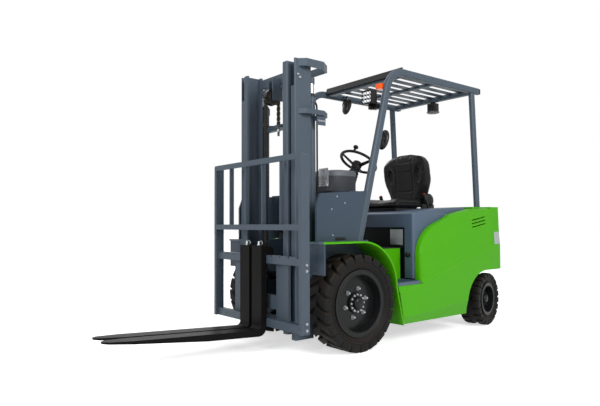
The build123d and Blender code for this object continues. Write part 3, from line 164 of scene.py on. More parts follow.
@dataclass(frozen=True)
class Finish:
    """One material: its colours, its gloss and the relief of its surface."""

    name: str
    colour: str
    tint: str
    roughness: float
    surface: Surface
    grain_mm: float
    depth_mm: float
    metallic: float = 0.0
    coat: float = 0.0
    patch_mm: float = 160.0
    dust: str = ""
    dust_share: float = 0.0
    clear: float = 0.0
    glow: float = 0.0
    specular: float = 0.3

    def material(self) -> bpy.types.Material:
        """Builds the material once.

        Returns:
            The material, new or known.
        """
        known = bpy.data.materials.get(self.name)
        if known:
            return known
        made = bpy.data.materials.new(self.name)
        made.use_nodes = True
        tree = made.node_tree
        tree.nodes.clear()
        place = add(tree, "ShaderNodeTexCoord")
        settings = {"Metallic": self.metallic, "Coat Weight": self.coat, "Coat Roughness": 0.08,
                    "Transmission Weight": self.clear, "Specular IOR Level": self.specular}
        if self.glow:
            settings["Emission Strength"] = self.glow
            settings["Emission Color"] = linear(self.colour)
        shader = add(tree, "ShaderNodeBsdfPrincipled", settings,
                     {"Base Color": (self._colour(tree, place), MIX_COLOUR),
                      "Roughness": (self._gloss(tree, place), "Result"),
                      "Normal": (self._relief(tree, place), "Normal")})
        add(tree, "ShaderNodeOutputMaterial", None, {"Surface": (shader, "BSDF")})
        return made

    @staticmethod
    def _cloud(tree: Tree, place: Node, patch_mm: float, detail: float) -> Node:
        """Noise with patches of a real size."""
        return add(tree, "ShaderNodeTexNoise", {"Scale": 1000 / patch_mm, "Detail": detail},
                   {"Vector": (place, "Object")})

    def _colour(self, tree: Tree, place: Node) -> Node:
        """Slow drift between colour and tint, with dust on what faces up.

        Args:
            tree: The material's nodes.
            place: Node that gives the coordinates.

        Returns:
            The mix that holds the colour.
        """
        tones = {"data_type": "RGBA", MIX_FIRST: linear(self.colour), MIX_SECOND: linear(self.tint)}
        mixed = add(tree, "ShaderNodeMix", tones, {0: (self._cloud(tree, place, self.patch_mm, 4.0), "Fac")})
        if not self.dust:
            return mixed
        side = add(tree, "ShaderNodeNewGeometry")
        parts = add(tree, "ShaderNodeSeparateXYZ", None, {0: (side, "Normal")})
        up = add(tree, "ShaderNodeMapRange", {"From Min": 0.1, "From Max": 1.0, "To Max": self.dust_share},
                 {"Value": (parts, "Z")})
        cloud = self._cloud(tree, place, DUST_PATCH_MM, 5.0)
        share = add(tree, "ShaderNodeMath", {"operation": "MULTIPLY"}, {0: (up, "Result"), 1: (cloud, "Fac")})
        return add(tree, "ShaderNodeMix", {"data_type": "RGBA", MIX_SECOND: linear(self.dust)},
                   {0: (share, "Value"), MIX_FIRST: (mixed, MIX_COLOUR)})

    def _gloss(self, tree: Tree, place: Node) -> Node:
        """Roughness that wanders a little, as handling and cleaning leave it.

        Args:
            tree: The material's nodes.
            place: Node that gives the coordinates.

        Returns:
            The node that holds the roughness.
        """
        cloud = self._cloud(tree, place, HANDLING_PATCH_MM, 3.0)
        less, more = GLOSS_SPREAD
        return add(tree, "ShaderNodeMapRange",
                   {"To Min": max(self.roughness - less, 0.02), "To Max": min(self.roughness + more, 1.0)},
                   {"Value": (cloud, "Fac")})

    def _relief(self, tree: Tree, place: Node) -> Node:
        """Bump of the surface, from the size of its grain.

        Args:
            tree: The material's nodes.
            place: Node that gives the coordinates.

        Returns:
            The bump.
        """
        scale = 1000 / self.grain_mm
        if self.surface is Surface.MOULDED:
            height = add(tree, "ShaderNodeTexVoronoi", {"feature": "F1", "Scale": scale},
                         {"Vector": (place, "Object")})
            output = "Distance"
        elif self.surface is Surface.RIBBED:
            height = add(tree, "ShaderNodeTexWave", {"Scale": scale / WAVE_RADIANS, "bands_direction": "Y"},
                         {"Vector": (place, "Object")})
            output = "Fac"
        else:
            spot, key = place, "Object"
            if self.surface is Surface.DRAWN:
                spot = add(tree, "ShaderNodeMapping", {"Scale": DRAWN_STRETCH},
                           {"Vector": (place, "Object")})
                key = "Vector"
            detail = 6.0 if self.surface is Surface.CAST else 2.0
            height = add(tree, "ShaderNodeTexNoise", {"Scale": scale, "Detail": detail},
                         {"Vector": (spot, key)})
            output = "Fac"
        return add(tree, "ShaderNodeBump", {"Strength": 1.0, "Distance": self.depth_mm / 1000},
                   {"Height": (height, output)})


# Sprayed enamels with a faint orange peel, drawn coarser than the real one so that it shows.
SLATE_ENAMEL = Finish("slate_enamel", "414C57", "3D4853", 0.45, Surface.SPRAYED, 5.0, 0.04)
# Two copies of the slate paint with light and shade painted in: a lighter, bluer one with painted light for
# the hood, steps, fender caps and crown, and a darker one with painted shade for the dash and inner fenders.
SLATE_PAINTED_LIGHT = Finish("slate_enamel_painted_light", "4A596B", "465567", 0.42, Surface.SPRAYED, 5.0, 0.04)
SLATE_PAINTED_SHADE = Finish("slate_enamel_painted_shade", "323F4D", "2F3C4A", 0.42, Surface.SPRAYED, 5.0, 0.04)
GREEN_ENAMEL = Finish("green_enamel", "49A009", "459A07", 0.38, Surface.SPRAYED, 6.0, 0.04, coat=0.04,
                      specular=0.12)
CAST_GREEN = Finish("green_enamel_on_casting", "48A009", "439807", 0.42, Surface.CAST, 16.0, 0.2, coat=0.04,
                    specular=0.12)
BLACK_ENAMEL = Finish("black_enamel", "131416", "18191B", 0.45, Surface.SPRAYED, 5.0, 0.06, specular=0.12)
# Forged steel painted black, rough from the scale under the paint.
FORGED_BLACK = Finish("painted_forging", "0E0E0E", "141413", 0.40, Surface.CAST, 9.0, 0.15, dust="2A2826",
                      dust_share=0.12, specular=0.04)
# Solid tyre compound: dull, with brownish bloom on what faces up.
TYRE_RUBBER = Finish("black_tyre_compound", "131212", "181716", 0.62, Surface.CAST, 7.0, 0.25, dust="4A3B30",
                     dust_share=0.4, specular=0.12)
# Baked rim enamel, smoother than the brushed-on black, so that its rings catch the light.
RIM_BLACK = Finish("rim_enamel", "111213", "171819", 0.32, Surface.SPRAYED, 5.0, 0.05, coat=0.08,
                   specular=0.15)
# Ground and plated rod: mirror bright with fine lines along its length.
HARD_CHROME = Finish("hard_chrome", "C6C8CA", "BBBEC1", 0.14, Surface.DRAWN, 3.0, 0.01, metallic=1.0,
                     specular=0.5)
# Chain plates under an oil film, brownish in the joints.
OILED_STEEL = Finish("oiled_chain_steel", "2B2A29", "45423F", 0.42, Surface.CAST, 6.0, 0.1, metallic=0.8)
# Zinc plating: pale, a little cloudy.
ZINC = Finish("zinc_plate", "A3A6A8", "93979B", 0.32, Surface.DRAWN, 4.0, 0.02, metallic=1.0, patch_mm=20.0)
# Powder coat on the battery case, dull and even.
CASE_GREY = Finish("battery_case_paint", "2F3336", "34383B", 0.55, Surface.SPRAYED, 5.0, 0.05)
# Textured ABS; the real grain of about a millimetre is drawn at three so that it shows.
CAB_PLASTIC = Finish("textured_abs", "33363B", "3A3D42", 0.55, Surface.MOULDED, 3.0, 0.1, specular=0.25)
PALE_PLASTIC = Finish("pale_abs", "5C6066", "64686E", 0.5, Surface.MOULDED, 3.0, 0.1)
# Soft grip foam with a closed skin.
GRIP_BLACK = Finish("grip_polyurethane", "141415", "19191A", 0.5, Surface.MOULDED, 2.5, 0.1, specular=0.2)
# Rubber mat with low ribs; they repeat at two pi times the grain, which is every 88 mm.
FLOOR_RUBBER = Finish("ribbed_rubber_mat", "1E1F20", "262728", 0.75, Surface.RIBBED, 14.0, 1.5, specular=0.15)
# Embossed vinyl; its leather grain is drawn at 4 mm so that it shows.
SEAT_VINYL = Finish("embossed_vinyl", "0F0F10", "141415", 0.40, Surface.MOULDED, 4.0, 0.1, specular=0.15)
# Injection moulded housings, nearly black with a soft sheen.
LAMP_BLACK = Finish("lamp_housing_abs", "101011", "161617", 0.35, Surface.MOULDED, 3.0, 0.06, specular=0.25)
# Dyed clear plastic over a bright base, so that it seems lit from inside.
AMBER_LENS = Finish("amber_polycarbonate", "EE5A10", "E04E08", 0.16, Surface.SPRAYED, 4.0, 0.05, coat=0.3,
                    glow=0.1)
RED_ABS = Finish("red_abs", "B3140F", "A8110C", 0.35, Surface.MOULDED, 3.0, 0.05)
# Clear sheet beside the instrument pod, a little frosted by handling.
CLEAR_LENS = Finish("clear_polycarbonate", "F3F6F8", "EEF2F5", 0.18, Surface.SPRAYED, 6.0, 0.02, clear=0.9)
# Vacuum-silvered cells of a work lamp.
REFLECTOR = Finish("silvered_reflector", "D4D6D8", "C8CACD", 0.14, Surface.DRAWN, 4.0, 0.02, metallic=1.0)
MIRROR_GLASS = Finish("mirror_glass", "C8CDD2", "C2C7CC", 0.04, Surface.SPRAYED, 40.0, 0.01, metallic=1.0)
# Brushed aluminium plate under a dull lacquer.
PLATE_SILVER = Finish("blank_aluminium_plate", "9EA3A6", "A8ADB0", 0.4, Surface.DRAWN, 3.0, 0.02,
                      metallic=0.3)

NODE_FINISHES: dict[str, Finish] = {
    "mast_paint": SLATE_ENAMEL, "body_paint": GREEN_ENAMEL, "cast_weight": CAST_GREEN,
    "chassis_black": BLACK_ENAMEL, "fork_black": FORGED_BLACK, "tyre_rubber": TYRE_RUBBER,
    "rim_black": RIM_BLACK, "rod_chrome": HARD_CHROME, "chain_steel": OILED_STEEL,
    "battery_case": CASE_GREY, "cab_plastic": CAB_PLASTIC, "floor_rubber": FLOOR_RUBBER,
    "seat_vinyl": SEAT_VINYL, "lamp_black": LAMP_BLACK, "amber_lens": AMBER_LENS,
}
# The hood and steps take the slate with painted light; the dash and inner fenders take the slate with painted
# shade.
OWN_FINISHES: dict[str, Finish] = {"battery_hood": SLATE_PAINTED_LIGHT, "steps": SLATE_PAINTED_LIGHT, "dash": SLATE_PAINTED_SHADE,
                                   "inner_fenders": SLATE_PAINTED_SHADE}


def dress(piece: Piece, finish: Finish) -> Piece:
    """Gives a piece one finish all over.

    Args:
        piece: The piece.
        finish: Its finish.

    Returns:
        The piece.
    """
    piece.data.materials.clear()
    piece.data.materials.append(finish.material())
    return piece


def fit(piece: Piece, finish: Finish, body: str) -> Piece:
    """Dresses a new piece and lets it ride on a body.

    Args:
        piece: The piece, in place.
        finish: Its finish.
        body: Body that carries it.

    Returns:
        The piece.
    """
    dress(piece, finish)
    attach(piece, body)
    log.info("%s rides on %s", piece.name, body)
    return piece


class Hand:
    """Blender's modelling operators, used as by hand."""

    @staticmethod
    def only(piece: Piece | None = None) -> None:
        """Leaves one piece selected and active, or none.

        Args:
            piece: The piece, or None.
        """
        bpy.ops.object.select_all(action="DESELECT")
        if piece:
            piece.select_set(True)
            bpy.context.view_layer.objects.active = piece

    @staticmethod
    def edit() -> None:
        """Enters edit mode with everything selected."""
        bpy.ops.object.mode_set(mode="EDIT")
        bpy.ops.mesh.select_all(action="SELECT")

    @staticmethod
    def settle(name: str, place: Matrix | None = None) -> Piece:
        """Names the new piece and puts its place into its mesh.

        Args:
            name: Name of the piece and its mesh.
            place: Where the piece goes, if not as drawn.

        Returns:
            The piece.
        """
        piece = bpy.context.object
        piece.name = name
        piece.data.name = name
        bpy.ops.object.transform_apply(location=True, rotation=True, scale=True)
        if place is not None:
            piece.data.transform(place)
        return piece

    @staticmethod
    def outward(piece: Piece) -> Piece:
        """Merges doubles and turns all faces outward.

        Args:
            piece: The piece.

        Returns:
            The piece.
        """
        Hand.only(piece)
        Hand.edit()
        bpy.ops.mesh.remove_doubles(threshold=MERGE_DISTANCE)
        bpy.ops.mesh.normals_make_consistent(inside=False)
        bpy.ops.object.mode_set(mode="OBJECT")
        return piece

    @staticmethod
    def smooth(piece: Piece, angle: float = 38) -> Piece:
        """Shades a piece smooth where its faces meet at a small angle.

        Args:
            piece: The piece.
            angle: Greatest angle in degrees that is shaded smooth.

        Returns:
            The piece.
        """
        Hand.only(piece)
        bpy.ops.object.shade_smooth_by_angle(angle=math.radians(angle))
        return piece

    @staticmethod
    def round_edges(piece: Piece, width: float, segments: int = 2, angle: float = 35) -> Piece:
        """Rounds the sharp edges of a piece with an applied bevel.

        Args:
            piece: The piece.
            width: Width of the rounding.
            segments: Facets of the rounding.
            angle: Least angle in degrees of an edge that is rounded.

        Returns:
            The piece.
        """
        Hand.only(piece)
        tool = piece.modifiers.new("rounding", "BEVEL")
        tool.width = width
        tool.segments = segments
        tool.limit_method = "ANGLE"
        tool.angle_limit = math.radians(angle)
        bpy.ops.object.modifier_apply(modifier=tool.name)
        return Hand.smooth(piece)

    @staticmethod
    def block(name: str, low: Vector, high: Vector, rounding: float = 0.002, place: Matrix | None = None,
              segments: int = 2) -> Piece:
        """Block between two corners with rounded edges.

        Args:
            name: Name of the piece.
            low: Lowest corner.
            high: Highest corner.
            rounding: Radius of the edges.
            place: Where the finished block goes, if not as drawn.
            segments: Facets of the rounding.

        Returns:
            The piece.
        """
        Hand.only()
        low, high = Vector(low), Vector(high)
        bpy.ops.mesh.primitive_cube_add(size=1, location=(low + high) / 2)
        bpy.context.object.scale = high - low
        piece = Hand.settle(name, place)
        return Hand.round_edges(piece, rounding, segments)

    @staticmethod
    def extrude(step: Triple) -> None:
        """Draws the selected faces out by a step."""
        bpy.ops.mesh.extrude_region_move(TRANSFORM_OT_translate={"value": step})

    @staticmethod
    def turned(name: str, steps: list[Pair], place: Matrix, sides: int = 28, rounding: float = 0.0) -> Piece:
        """Turned piece about the Z axis of its place.

        Args:
            name: Name of the piece.
            steps: Height and radius of each ring, from one end to the other.
            place: Where the axis stands.
            sides: Number of facets.
            rounding: Radius of the edges, 0 for none.

        Returns:
            The piece.
        """
        Hand.only()
        height, radius = steps[0]
        bpy.ops.mesh.primitive_circle_add(vertices=sides, radius=radius, location=(0, 0, height),
                                          fill_type="NGON")
        bpy.ops.object.transform_apply(location=True, rotation=True, scale=True)
        Hand.edit()
        for next_height, next_radius in steps[1:]:
            Hand.extrude((0, 0, next_height - height))
            share = next_radius / radius
            bpy.ops.transform.resize(value=(share, share, 1), center_override=(0, 0, next_height))
            height, radius = next_height, next_radius
        bpy.ops.object.mode_set(mode="OBJECT")
        piece = Hand.outward(Hand.settle(name, place))
        return Hand.round_edges(piece, rounding) if rounding else Hand.smooth(piece)

    @staticmethod
    def loop(corners: list[Vector], fill: str) -> Piece:
        """Closed run of edges through the corners.

        Args:
            corners: Points of the run, in order.
            fill: Blender's word for how the run is filled.

        Returns:
            The piece.
        """
        Hand.only()
        bpy.ops.mesh.primitive_circle_add(vertices=len(corners), radius=1, fill_type=fill)
        piece = bpy.context.object
        for vertex, corner in zip(piece.data.vertices, corners):
            vertex.co = corner
        return piece

    @staticmethod
    def plate(name: str, corners: list[Vector], depth: Vector, rounding: float = 0.001,
              segments: int = 2) -> Piece:
        """Flat plate from its corners, given thickness along a vector.

        Args:
            name: Name of the piece.
            corners: Outline of one face.
            depth: Thickness and its direction.
            rounding: Radius of the edges, 0 for none.
            segments: Facets of the rounding.

        Returns:
            The piece.
        """
        Hand.loop(corners, "NGON")
        Hand.edit()
        Hand.extrude(tuple(depth))
        bpy.ops.object.mode_set(mode="OBJECT")
        piece = Hand.outward(Hand.settle(name))
        return Hand.round_edges(piece, rounding, segments) if rounding else piece

    @staticmethod
    def stack(name: str, plan: list[Pair], steps: tuple[Level, ...], place: Vector) -> Piece:
        """Moulded piece: a plan drawn up through several heights.

        Args:
            name: Name of the piece.
            plan: Corners of the plan about its centre.
            steps: Height, shift along X and the two scales of the plan at each level.
            place: Where the plan's centre stands.

        Returns:
            The piece.
        """
        height, shift, wide, deep = steps[0]
        Hand.loop([Vector((x * wide + shift, y * deep, height)) for x, y in plan], "NGON")
        Hand.edit()
        for level, drift, long, broad in steps[1:]:
            Hand.extrude((drift - shift, 0, level - height))
            bpy.ops.transform.resize(value=(long / wide, broad / deep, 1), center_override=(drift, 0, level))
            height, shift, wide, deep = level, drift, long, broad
        bpy.ops.object.mode_set(mode="OBJECT")
        return Hand.smooth(Hand.outward(Hand.settle(name, Matrix.Translation(place))))

    @staticmethod
    def spun(name: str, section: list[Pair], steps: int) -> Piece:
        """Closed section spun about the Y axis.

        Args:
            name: Name of the piece.
            section: Radius and distance along the axis of each point.
            steps: Number of facets.

        Returns:
            The piece.
        """
        Hand.loop([Vector((radius, along, 0)) for radius, along in section], "NOTHING")
        Hand.edit()
        bpy.ops.mesh.spin(steps=steps, angle=2 * math.pi, center=(0, 0, 0), axis=(0, 1, 0))
        bpy.ops.object.mode_set(mode="OBJECT")
        return Hand.smooth(Hand.outward(Hand.settle(name)))

    @staticmethod
    def ring(name: str, place: Matrix, radii: Pair, sides: int, rounds: int) -> Piece:
        """Round ring, flattened a little along its axis.

        Args:
            name: Name of the piece.
            place: Where its centre and axis are.
            radii: Radius of the ring and of its section.
            sides: Facets round the ring.
            rounds: Facets round the section.

        Returns:
            The piece.
        """
        Hand.only()
        bpy.ops.mesh.primitive_torus_add(major_radius=radii[0], minor_radius=radii[1], major_segments=sides,
                                         minor_segments=rounds)
        Hand.edit()
        bpy.ops.transform.resize(value=(1, 1, RING_FLATNESS), center_override=(0, 0, 0))
        bpy.ops.object.mode_set(mode="OBJECT")
        return Hand.smooth(Hand.settle(name, place), 80)

    @staticmethod
    def tube(name: str, points: list[Vector], radius: float) -> Piece:
        """Bent tube on a smooth line.

        Args:
            name: Name of the piece.
            points: Control points of the line.
            radius: Radius of the tube.

        Returns:
            The piece.
        """
        Hand.only()
        bpy.ops.curve.primitive_nurbs_path_add()
        line = bpy.context.object
        line.data.splines.clear()
        spline = line.data.splines.new("NURBS")
        spline.points.add(len(points) - 1)
        for spot, point in zip(spline.points, points):
            spot.co = (*point, 1)
        spline.order_u = 3
        spline.use_endpoint_u = True
        line.data.bevel_depth = radius
        line.data.bevel_resolution = 3
        line.data.use_fill_caps = True
        bpy.ops.object.convert(target="MESH")
        return Hand.smooth(Hand.outward(Hand.settle(name)), 50)

    @staticmethod
    def join(name: str, pieces: list[Piece]) -> Piece:
        """Joins pieces into one.

        Args:
            name: Name of the joined piece.
            pieces: The pieces, of which the first is kept.

        Returns:
            The joined piece.
        """
        Hand.only(pieces[0])
        for piece in pieces:
            piece.select_set(True)
        if len(pieces) > 1:
            bpy.ops.object.join()
        pieces[0].name = name
        pieces[0].data.name = name
        return pieces[0]

    @staticmethod
    def copies(model: Piece, name: str, places: list[Matrix], keep: bool = False) -> Piece:
        """Sets copies of a model at several places and joins them into one piece.

        Args:
            model: Piece to copy.
            name: Name of the joined piece.
            places: Where the copies go.
            keep: Whether the model stays for later use.

        Returns:
            The joined piece.
        """
        made = []
        for place in places:
            twin = model.copy()
            twin.data = model.data.copy()
            bpy.context.collection.objects.link(twin)
            twin.data.transform(place)
            if place.determinant() < 0:
                twin.data.flip_normals()
            made.append(twin)
        if not keep:
            bpy.data.objects.remove(model)
        return Hand.join(name, made)

    @staticmethod
    def both_sides(piece: Piece) -> Piece:
        """Joins a piece with its mirror image on the other side of the truck."""
        return Hand.copies(piece, piece.name, [HERE, MIRRORED])

    @staticmethod
    def bolt(across: float, height: float) -> Piece:
        """Hexagon bolt head with a washer, standing on the origin along Z.

        Args:
            across: Width of the head.
            height: Height of the head.

        Returns:
            The bolt.
        """
        edge = across * 0.03
        washer = Hand.turned("washer", [(0, across * 0.62), (height * 0.25, across * 0.62)], HERE, 20, edge)
        head = Hand.turned("head", [(height * 0.2, across * 0.55), (height * 0.85, across * 0.55),
                                    (height, across * 0.44)], HERE, 6, edge)
        return Hand.join("bolt", [washer, head])

    @staticmethod
    def stuff(piece: Piece, voxel: float, cap: float) -> Piece:
        """Fills a foam piece as cloth under pressure, each point held to a small travel.

        Args:
            piece: Closed piece, a little smaller than the finished one.
            voxel: Mesh size.
            cap: Furthest that a point may move.

        Returns:
            The piece with its swollen mesh.
        """
        Hand.only(piece)
        piece.data.remesh_voxel_size = voxel
        bpy.ops.object.voxel_remesh()
        rest = [vertex.co.copy() for vertex in piece.data.vertices]
        tool = piece.modifiers.new("stuffing", "CLOTH")
        tool.settings.use_pressure = True
        tool.settings.uniform_pressure_force = STUFFING_PRESSURE
        tool.settings.effector_weights.gravity = 0
        for number in range(1, STUFFING_FRAMES + 1):
            bpy.context.scene.frame_set(number)
        bpy.ops.object.modifier_apply(modifier=tool.name)
        bpy.context.scene.frame_set(1)
        for vertex, start in zip(piece.data.vertices, rest):
            step = vertex.co - start
            vertex.co = start + step * min(1, cap / max(step.length, 1e-9))
        return piece


def surface(node: str, start: Vector, direction: Triple) -> tuple[Vector, Vector]:
    """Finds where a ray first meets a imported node.

    Args:
        node: Name of the node.
        start: Point outside the node.
        direction: Way to look.

    Returns:
        The point on the node and the node's normal there.
    """
    found, point, normal, _ = bpy.data.objects[node].ray_cast(start, Vector(direction).normalized())
    if not found:
        raise ValueError(f"nothing of {node} lies that way from {tuple(start)}")
    return point, normal


def on_side(node: str, spots: tuple[Pair, ...]) -> list[Matrix]:
    """Places on the left face of a node, seen from the left.

    Args:
        node: Name of the node.
        spots: X and Z of each place.

    Returns:
        Places with their Z axis out of the face.
    """
    return [facing(*surface(node, at(x, BESIDE_Y, z), (0, -1, 0))) for x, z in spots]


@dataclass
class WheelPair:
    """Left and right wheel of one axle: lugged tyres, nuts, hub bolts, caps and rim rings."""

    end: str
    places: dict[str, Matrix]
    radius: float
    half_width: float
    bead: float
    bead_half: float
    base: float
    lugs: int
    lug_inner: float
    lug_widths: Pair
    lug_sweep: float
    nut_circle: float
    nut_seat: float
    nut_across: float
    hub_circle: float
    hub_seat: float
    hub_bolts: int
    cap_radius: float
    cap_seat: float
    nut_finish: Finish
    nuts: int = 6
    nut_turn: float = 15.0
    hub_bolt: Pair = (0.014, 0.009)
    lug_draft: float = 0.35
    lug_rounding: float = 0.0032

    def build(self) -> None:
        """Builds the tyre and the fittings once and sets them on both sides."""
        tyre = self._tyre()
        for side, place in self.places.items():
            body = f"{self.end}_wheel_{side}"
            piece = Hand.copies(tyre, f"tread_{self.end}_{side}", [place], keep=True)
            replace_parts(fit(piece, TYRE_RUBBER, body), f"tyre_{self.end}_{side}")
            self._fittings(side, place, body)
        bpy.data.objects.remove(tyre)

    def _tyre(self) -> Piece:
        """Carcass and lugs of one tyre about the Y axis, with the outer face along +Y.

        Returns:
            The tyre, at the origin.
        """
        ridge = self.bead + 0.028
        wall = self.half_width
        side = [(self.bead + 0.0005, self.bead_half - 0.004), (self.bead + 0.010, self.bead_half + 0.003),
                (self.bead + 0.019, wall - 0.013), (ridge - 0.003, wall - 0.009), (ridge, wall - 0.0055),
                (ridge + 0.003, wall - 0.009), (ridge + 0.016, wall - 0.005), (ridge + 0.018, wall - 0.003),
                (ridge + 0.020, wall - 0.005), (self.base - 0.016, wall - 0.004),
                (self.base - 0.004, wall - 0.008), (self.base, wall - 0.018)]
        section = [*side, (self.base + 0.001, 0.0), *((r, -y) for r, y in reversed(side))]
        carcass = Hand.spun("carcass", section, 96)
        lug = self._lug()
        step = 2 * math.pi / self.lugs
        turns = [Matrix.Rotation(step * number, 4, "Y") for number in range(self.lugs)]
        places = turns + [Matrix.Rotation(step / 2, 4, "Y") @ turn @ MIRRORED for turn in turns]
        return Hand.join("tyre", [carcass, Hand.copies(lug, "lugs", places)])

    def _lug(self) -> Piece:
        """One lug at the top of the tyre: drafted, swept and running over the shoulder.

        Returns:
            The lug.
        """
        top, outer, inner = self.radius, self.half_width, self.lug_inner
        foot = self.base - 0.006
        profile = [(inner - 0.006, foot), (inner, top), (outer - 0.010, top), (outer, top - 0.010),
                   (outer, foot - 0.022), (outer - 0.012, foot - 0.022)]
        piece = Hand.plate("lug", [Vector((-0.5, y, z)) for y, z in profile], Vector((1, 0, 0)), 0)
        narrow, wide = self.lug_widths
        for vertex in piece.data.vertices:
            x, y, z = vertex.co
            share = max((y - inner) / (outer - inner), 0)
            width = narrow + (wide - narrow) * share + 0.5 * max(top - z, 0) * self.lug_draft
            angle = (x * width + self.lug_sweep * (share - 0.5)) / top
            vertex.co = (z * math.sin(angle), y, z * math.cos(angle))
        return Hand.round_edges(piece, self.lug_rounding, 2, 30)

    def _fittings(self, side: str, place: Matrix, body: str) -> None:
        """Nuts, hub bolts, cap and rings of one wheel.

        Args:
            side: Left or right.
            place: Centre of the wheel, with its outer face along +Y.
            body: Body that carries the fittings.
        """
        across = self.nut_across
        dome = Hand.turned("dome", [(across * 0.5, across * 0.40), (across * 0.85, across * 0.36),
                                    (across * 1.02, across * 0.24), (across * 1.08, across * 0.06)], HERE, 16)
        nut = Hand.join("nut", [Hand.bolt(across, across * 0.62), dome])
        spots = self._circle(place, self.nuts, self.nut_circle, self.nut_seat, self.nut_turn)
        fit(Hand.copies(nut, f"nuts_{self.end}_{side}", spots), self.nut_finish, body)
        bolt = Hand.bolt(*self.hub_bolt)
        spots = self._circle(place, self.hub_bolts, self.hub_circle, self.hub_seat, 0)
        fit(Hand.copies(bolt, f"hub_bolts_{self.end}_{side}", spots), self.nut_finish, body)
        r = self.cap_radius
        steps = [(0, r), (0.006, r), (0.010, r * 0.93), (0.016, r * 0.80), (0.020, r * 0.55),
                 (0.022, r * 0.1)]
        cap = Hand.turned(f"hub_cap_{self.end}_{side}", steps,
                          place @ Matrix.Translation((0, self.cap_seat, 0)) @ OUTWARD, 36)
        fit(cap, RIM_BLACK, body)
        lip = place @ Matrix.Translation((0, self.bead_half + 0.0095, 0)) @ OUTWARD
        rings = [Hand.ring("outer_ring", lip, (self.bead + 0.003, 0.0045), 72, 8),
                 Hand.ring("inner_ring", lip, (self.bead - 0.020, 0.0035), 72, 8)]
        fit(Hand.join(f"rim_rings_{self.end}_{side}", rings), RIM_BLACK, body)

    def _circle(self, place: Matrix, count: int, circle: float, seat: float, phase: float) -> list[Matrix]:
        """Places of fasteners round the wheel's axis.

        Args:
            place: Centre of the wheel.
            count: Number of fasteners.
            circle: Radius of their circle.
            seat: Distance of their seat along the axis.
            phase: Angle of the first in degrees.

        Returns:
            One place for each fastener.
        """
        seats = Matrix.Translation((0, seat, circle)) @ OUTWARD
        turns = [math.radians(phase) + 2 * math.pi * number / count for number in range(count)]
        return [place @ Matrix.Rotation(-turn, 4, "Y") @ seats for turn in turns]


